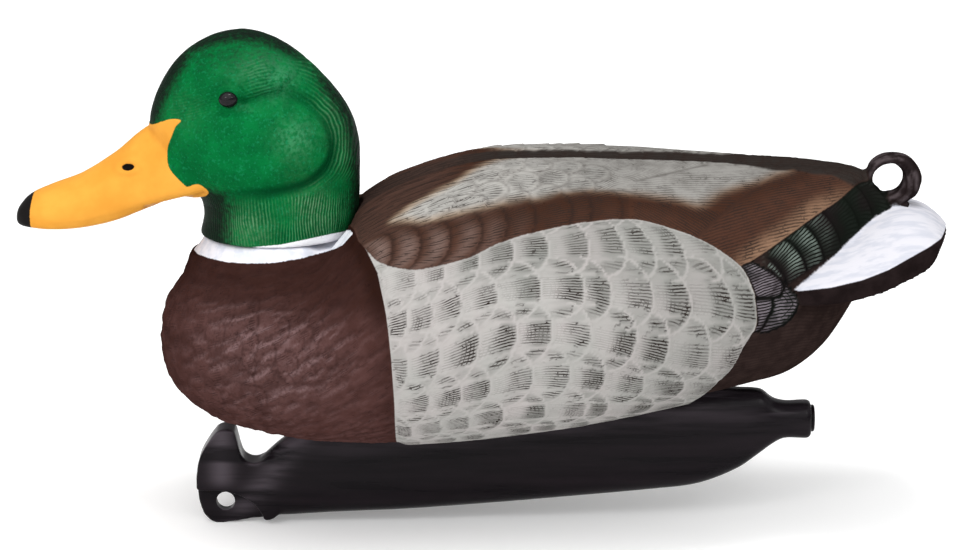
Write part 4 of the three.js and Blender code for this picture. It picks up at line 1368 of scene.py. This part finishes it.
def body_material():
    n = Nodes("painted_body", 0.6, 0)
    fine = n.noise(900)
    mottle = n.noise(150, 4)
    patch = n.noise(45)
    ragged = n.plus(fine, 1.6, -0.8)

    def inside(name, soft=0.3, rag=0.35):
        return n.ramp(n.plus(ragged, rag, name), -soft, soft)

    # Barb lines: thin inked grooves, broken up like a dry-brushed wash.
    wander = n.plus(n.noise(330, 2), 0.55, n.plus(patch, 1.4, "phase"))
    line = n.ramp(n.wave(wander), -0.1, 0.65)
    hatch = n.ramp(n.wave(n.plus(n.noise(300, 2), 1.2, "cross")), 0.45, 0.95)
    hatched = n.math("MAXIMUM", n.ramp("flank", -0.3, 0.3), "plum")
    hatch = n.times(hatch, n.ramp(n.noise(70), 0.5, 0.62, 0, 0.8), hatched)
    line = n.math("MAXIMUM", line, hatch)
    amount = n.times("ink", n.ramp(mottle, 0.36, 0.58, 0.45, 1))
    ink = n.times(line, amount)

    # The colour of each region.
    on_flank = inside("flank")
    flank = n.mix(n.ramp(patch, 0.3, 0.7), (0.34, 0.334, 0.318), (0.372, 0.348, 0.338))
    flank = n.mix(n.times("shade", 0.65), flank, (0.125, 0.13, 0.118))
    breast = n.mix(n.ramp(mottle, 0.3, 0.75), (0.05, 0.021, 0.018), (0.068, 0.031, 0.028))
    # Painted highlight on the breast's folds.
    breast = n.mix(n.times("gloss", n.ramp(fine, 0.3, 0.6, 0.35, 0.85)), breast, (0.135, 0.08, 0.08))
    # Painted shade on the breast under the head, at the front and near its border.
    breast = n.mix("dusk", breast, (0.018, 0.007, 0.005))
    # Painted shade in the breast's creases.
    breast = n.mix(n.times("groove", 0.75), breast, (0.018, 0.008, 0.007))
    rump = n.mix(n.ramp(patch, 0.35, 0.65), (0.009, 0.007, 0.007), (0.006, 0.008, 0.006))
    under = n.mix(n.ramp(mottle, 0.3, 0.7), (0.016, 0.01, 0.009), (0.027, 0.017, 0.015))
    under = n.mix(n.times(ink, 0.8), under, (0.008, 0.005, 0.005))
    brush = n.noise(240, stretch=(0.22, 1, 1))
    white = n.mix(n.ramp(brush, 0.36, 0.58), (0.47, 0.48, 0.535), (0.565, 0.56, 0.6))
    ring = n.mix(n.ramp(n.noise(220), 0.36, 0.58), (0.57, 0.59, 0.66), (0.68, 0.68, 0.73))
    rim = n.mix(n.ramp(mottle, 0.3, 0.7), (0.009, 0.006, 0.006), (0.015, 0.01, 0.01))
    # Paler curls on the loop: partly wear, partly painted highlight.
    rim = n.mix(n.times("worn", n.ramp(mottle, 0.4, 0.6, 0.1, 0.7)), rim, (0.085, 0.068, 0.072))

    # Wings and flank, then everything that lies over them.
    color = n.attribute("paint", "Color")
    color = n.mix(n.ramp(mottle, 0.35, 0.7, 0, 0.22), color, (0.03, 0.018, 0.014))
    color = n.mix(n.times("shade", 0.45), color, (0.105, 0.11, 0.105))
    color = n.mix(on_flank, color, flank)
    ink = n.math("MAXIMUM", ink, n.times(amount, n.ramp(n.noise(620, 2), 0.6, 0.68)))
    strong = n.ramp(on_flank, 0, 1, 0.88, 1)
    color = n.mix(n.times(ink, strong), color, (0.022, 0.016, 0.014))
    # Painted shade in creases and behind feather edges.
    color = n.mix(n.times("groove", 0.6), color, (0.022, 0.014, 0.012))
    breast = n.mix(n.times(ink, 0.5), breast, (0.016, 0.009, 0.009))
    color = n.mix(inside("breast", 0.25, 0.3), color, breast)
    sheen = n.mix("plum", (0.225, 0.275, 0.24), (0.235, 0.205, 0.23))
    ridge = n.times(n.math("SUBTRACT", 1, line), amount, "upper", 0.55)
    rear = n.mix(ridge, n.mix("upper", under, rump), sheen)
    # Painted shade behind the rump feathers' edges.
    rear = n.mix("groove", rear, (0.004, 0.004, 0.004))
    color = n.mix(n.times(inside("rear"), n.math("SUBTRACT", 1, on_flank)), color, rear)
    color = n.mix("tail", color, rim)
    color = n.mix(inside("white", 0.3, 0.2), color, white)
    color = n.mix(inside("collar", 0.25, 0.7), color, ring)

    grain = n.plus(fine, 0.3, n.times(line, "ink", -1))
    n.bump(n.plus(brush, n.ramp("white", 0, 1, 0, 0.6), grain), 0.25, 0.8)
    return n.finish(color, n.ramp(mottle, 0.3, 0.7, 0.42, 0.58))


def head_material():
    n = Nodes("painted_head", 0.4, 0.01)
    fine = n.noise(1300)
    speck = n.noise(500)
    mottle = n.noise(110, 4)
    rib = n.times(n.wave(n.plus(n.noise(60, 2), 3.2, "rib"), 1.35), "strength")

    # Green: mottled, with painted highlights and glint speckle, pale rib crests that are partly wear
    # and partly painted highlight, painted shade in the rib troughs and round the cheek, paler patches
    # that are partly wear and partly painted highlight, and black on the crown that is partly painted
    # shade.
    green = n.mix(n.ramp(mottle, 0.35, 0.7), (0.001, 0.09, 0.022), (0.0012, 0.128, 0.03))
    # Painted highlights on the lid, brow and back of the cheek.
    green = n.mix(n.times("glow", n.ramp(speck, 0.35, 0.65, 0.1, 0.6)), green, (0.045, 0.23, 0.105))
    # Pale speckle: painted glints on the paint's fine texture.
    green = n.mix(n.ramp(n.noise(800, 2), 0.55, 0.67, 0, 0.45), green, (0.008, 0.185, 0.074))
    green = n.mix(n.ramp(n.noise(650, 2), 0.4, 0.3, 0, 0.5), green, (0.001, 0.06, 0.02))
    # Pale rib crests: partly wear, partly painted highlight.
    crest = n.times(n.ramp(rib, 0.2, 0.9), n.ramp(mottle, 0.38, 0.6, 0.05, 0.5))
    green = n.mix(crest, green, (0.07, 0.24, 0.11))
    # Paler patches on the rib crests: partly wear, partly painted highlight.
    bare = n.times("worn", n.ramp(rib, -0.1, 0.5, 0.15, 0.75), n.ramp(speck, 0.35, 0.6, 0.3, 1))
    green = n.mix(bare, green, (0.13, 0.27, 0.14))
    # Painted shade in the troughs between the ribs.
    green = n.mix(n.ramp(rib, -0.1, -0.9, 0, 0.6), green, (0.001, 0.035, 0.011))
    # Black on the crown, chin and nape, partly painted shade along the outline.
    black = n.plus(n.math("SUBTRACT", speck, 0.5), 0.9, "black")
    green = n.mix(n.ramp(black, 0.1, 0.9, 0, 0.95), green, (0.006, 0.008, 0.007))
    # Painted shade in the crease round the cheek.
    off_cheek = n.math("ABSOLUTE", n.math("ADD", "cheek", 1.6))
    low = n.times(n.ramp(off_cheek, 0, 4.5, 1, 0), "fold")
    green = n.mix(low, green, (0.0005, 0.035, 0.01))
    lap = n.ramp(n.plus(fine, 0.5, "lap"), 0.1, 0.5)
    green = n.mix(lap, green, (0.88, 0.88, 0.92))

    # Bill: yellow, with a black nostril and nail.
    yellow = n.mix(n.ramp(n.noise(60), 0.3, 0.7), (0.62, 0.265, 0.035), (0.7, 0.32, 0.048))
    # Painted shade in the bill's crease.
    yellow = n.mix(n.times("crease", 0.5), yellow, (0.4, 0.15, 0.02))
    yellow = n.mix(n.ramp("nostril", 0.02, 0.12), yellow, (0.006, 0.005, 0.005))
    nail = n.ramp(n.plus(fine, 0.8, "nail"), 0.25, 0.65)
    yellow = n.mix(nail, yellow, (0.01, 0.009, 0.009))
    on_bill = n.ramp(n.plus(fine, 0.5, "bill"), 0.05, 0.4)

    feather = n.plus(fine, 1, n.plus(speck, 0.9, n.times(rib, 0.7)))
    n.bump(n.times(feather, n.math("SUBTRACT", 1, n.times(on_bill, 0.93))), 0.32, 0.9)
    return n.finish(n.mix(on_bill, green, yellow), n.ramp(on_bill, 0, 1, 0.46, 0.36))


def eye_material():
    n = Nodes("eye_black", 0.12, 0.12)
    n.inputs["Coat Weight"].default_value = 0.1
    n.inputs["Coat Roughness"].default_value = 0.05
    color = n.mix(n.ramp(n.noise(300, 2), 0.3, 0.7), (0.003, 0.003, 0.004), (0.008, 0.006, 0.008))
    return n.finish(color)


def keel_material():
    n = Nodes("keel_black", 0.33, 0.08)
    streak = n.noise(90, 4, (0.12, 1, 1.6))
    fine = n.noise(700, 3, (0.2, 1, 1))
    color = n.mix(n.ramp(streak, 0.3, 0.75), (0.003, 0.002, 0.003), (0.009, 0.006, 0.008))
    # Painted highlights on upward faces, the hook and the bar's upper edge.
    keel_highlight = n.times("edge", n.ramp(streak, 0.4, 0.62, 0.12, 1))
    n.bump(n.plus(fine, 0.4, streak), 0.12, 0.5)
    return n.finish(n.mix(keel_highlight, color, (0.075, 0.062, 0.073)), n.ramp(streak, 0.3, 0.7, 0.24, 0.38))


def steel_material():
    n = Nodes("zinc_steel", 0.3)
    n.inputs["Metallic"].default_value = 1
    color = n.mix(n.ramp(n.noise(400), 0.3, 0.7), (0.55, 0.55, 0.57), (0.68, 0.68, 0.7))
    return n.finish(color, n.ramp(n.noise(900, 2), 0.3, 0.7, 0.24, 0.4))


def sand_material():
    n = Nodes("dry_sand", 0.95, 0.2)
    grain = n.noise(2500, 2)
    n.bump(grain, 0.5)
    return n.finish(n.mix(n.ramp(grain, 0.35, 0.65), (0.3, 0.21, 0.11), (0.55, 0.43, 0.27)))


# ---- Stage ------------------------------------------------------------------------------------


def look(obj, place, aim):
    """Puts a lamp or camera at a place, turned towards the aim."""
    obj.location = place
    obj.rotation_mode = "QUATERNION"
    obj.rotation_quaternion = (aim - obj.location).to_track_quat("-Z", "Y")


def make_floor(half=6):
    mesh = bpy.data.meshes.new("floor")
    corners = [(-half, -half, 0), (half, -half, 0), (half, half, 0), (-half, half, 0)]
    mesh.from_pydata(corners, [], [(0, 1, 2, 3)])
    floor = add_object("floor", mesh)
    n = Nodes("pale_floor", 0.9, 0.1)
    n.inputs["Emission Color"].default_value = (1, 1, 1, 1)
    n.inputs["Emission Strength"].default_value = 0.15
    mesh.materials.append(n.finish(n.mix(n.noise(3, 2), (0.94, 0.94, 0.94), (0.95, 0.95, 0.95))))


def make_lights():
    world = bpy.data.worlds.new("studio")
    bpy.context.scene.world = world
    world.use_nodes = True
    background = world.node_tree.nodes["Background"]
    background.inputs["Color"].default_value = (1, 1, 1, 1)
    background.inputs["Strength"].default_value = 0.38
    # Name, kind, place in metres, power, and angle in degrees or size in metres
    for name, kind, place, power, size in (
        ("key", "SUN", (-0.7, -1.5, 1.5), 1.9, 90),
        ("top", "SUN", (0.3, -0.5, 1.6), 1.3, 100),
        ("glint_left", "AREA", (-0.6, -1.2, 0.9), 2, 0.3),
        ("glint_right", "AREA", (0.7, -1.1, 1), 1.5, 0.3),
        ("glint_over", "AREA", (0.1, -0.3, 1.5), 5, 0.35),
    ):
        lamp = bpy.data.lights.new(name, kind)
        lamp.energy = power
        if kind == "SUN":
            lamp.angle = math.radians(size)
        else:
            lamp.size = size
        look(add_object(name, lamp), place, Vector((0, 0, 0.12)))
    bpy.context.scene.view_settings.view_transform = "Standard"


def make_camera():
    elevation = math.radians(14.5)
    distance = 1.6
    aim = Vector((0.0034, 0, 0.1172))
    data = bpy.data.cameras.new("camera")
    data.sensor_width = 36
    data.lens = 130
    data.clip_end = 50
    camera = add_object("camera", data)
    back = Vector((0, -math.cos(elevation), math.sin(elevation)))
    look(camera, aim + back * distance, aim)
    bpy.context.scene.camera = camera


# ---- Assembly ---------------------------------------------------------------------------------

make_camera()
make_body(body_material())
make_head(head_material())
eye_paint = eye_material()
make_eye("eye_left", "left_eye", -1, eye_paint)
make_eye("eye_right", "right_eye", 1, eye_paint)
keel_plastic = keel_material()
make_keel(keel_plastic)
make_plug(keel_plastic)
steel = steel_material()
make_screw("screw_front", "keel_screw_front", steel)
make_screw("screw_rear", "keel_screw_rear", steel)
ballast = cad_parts["keel_ballast"]
ballast_node = bpy.data.objects[ballast] if isinstance(ballast, str) else ballast
ballast_node.data.materials.clear()
ballast_node.data.materials.append(sand_material())
make_floor()
make_lights()
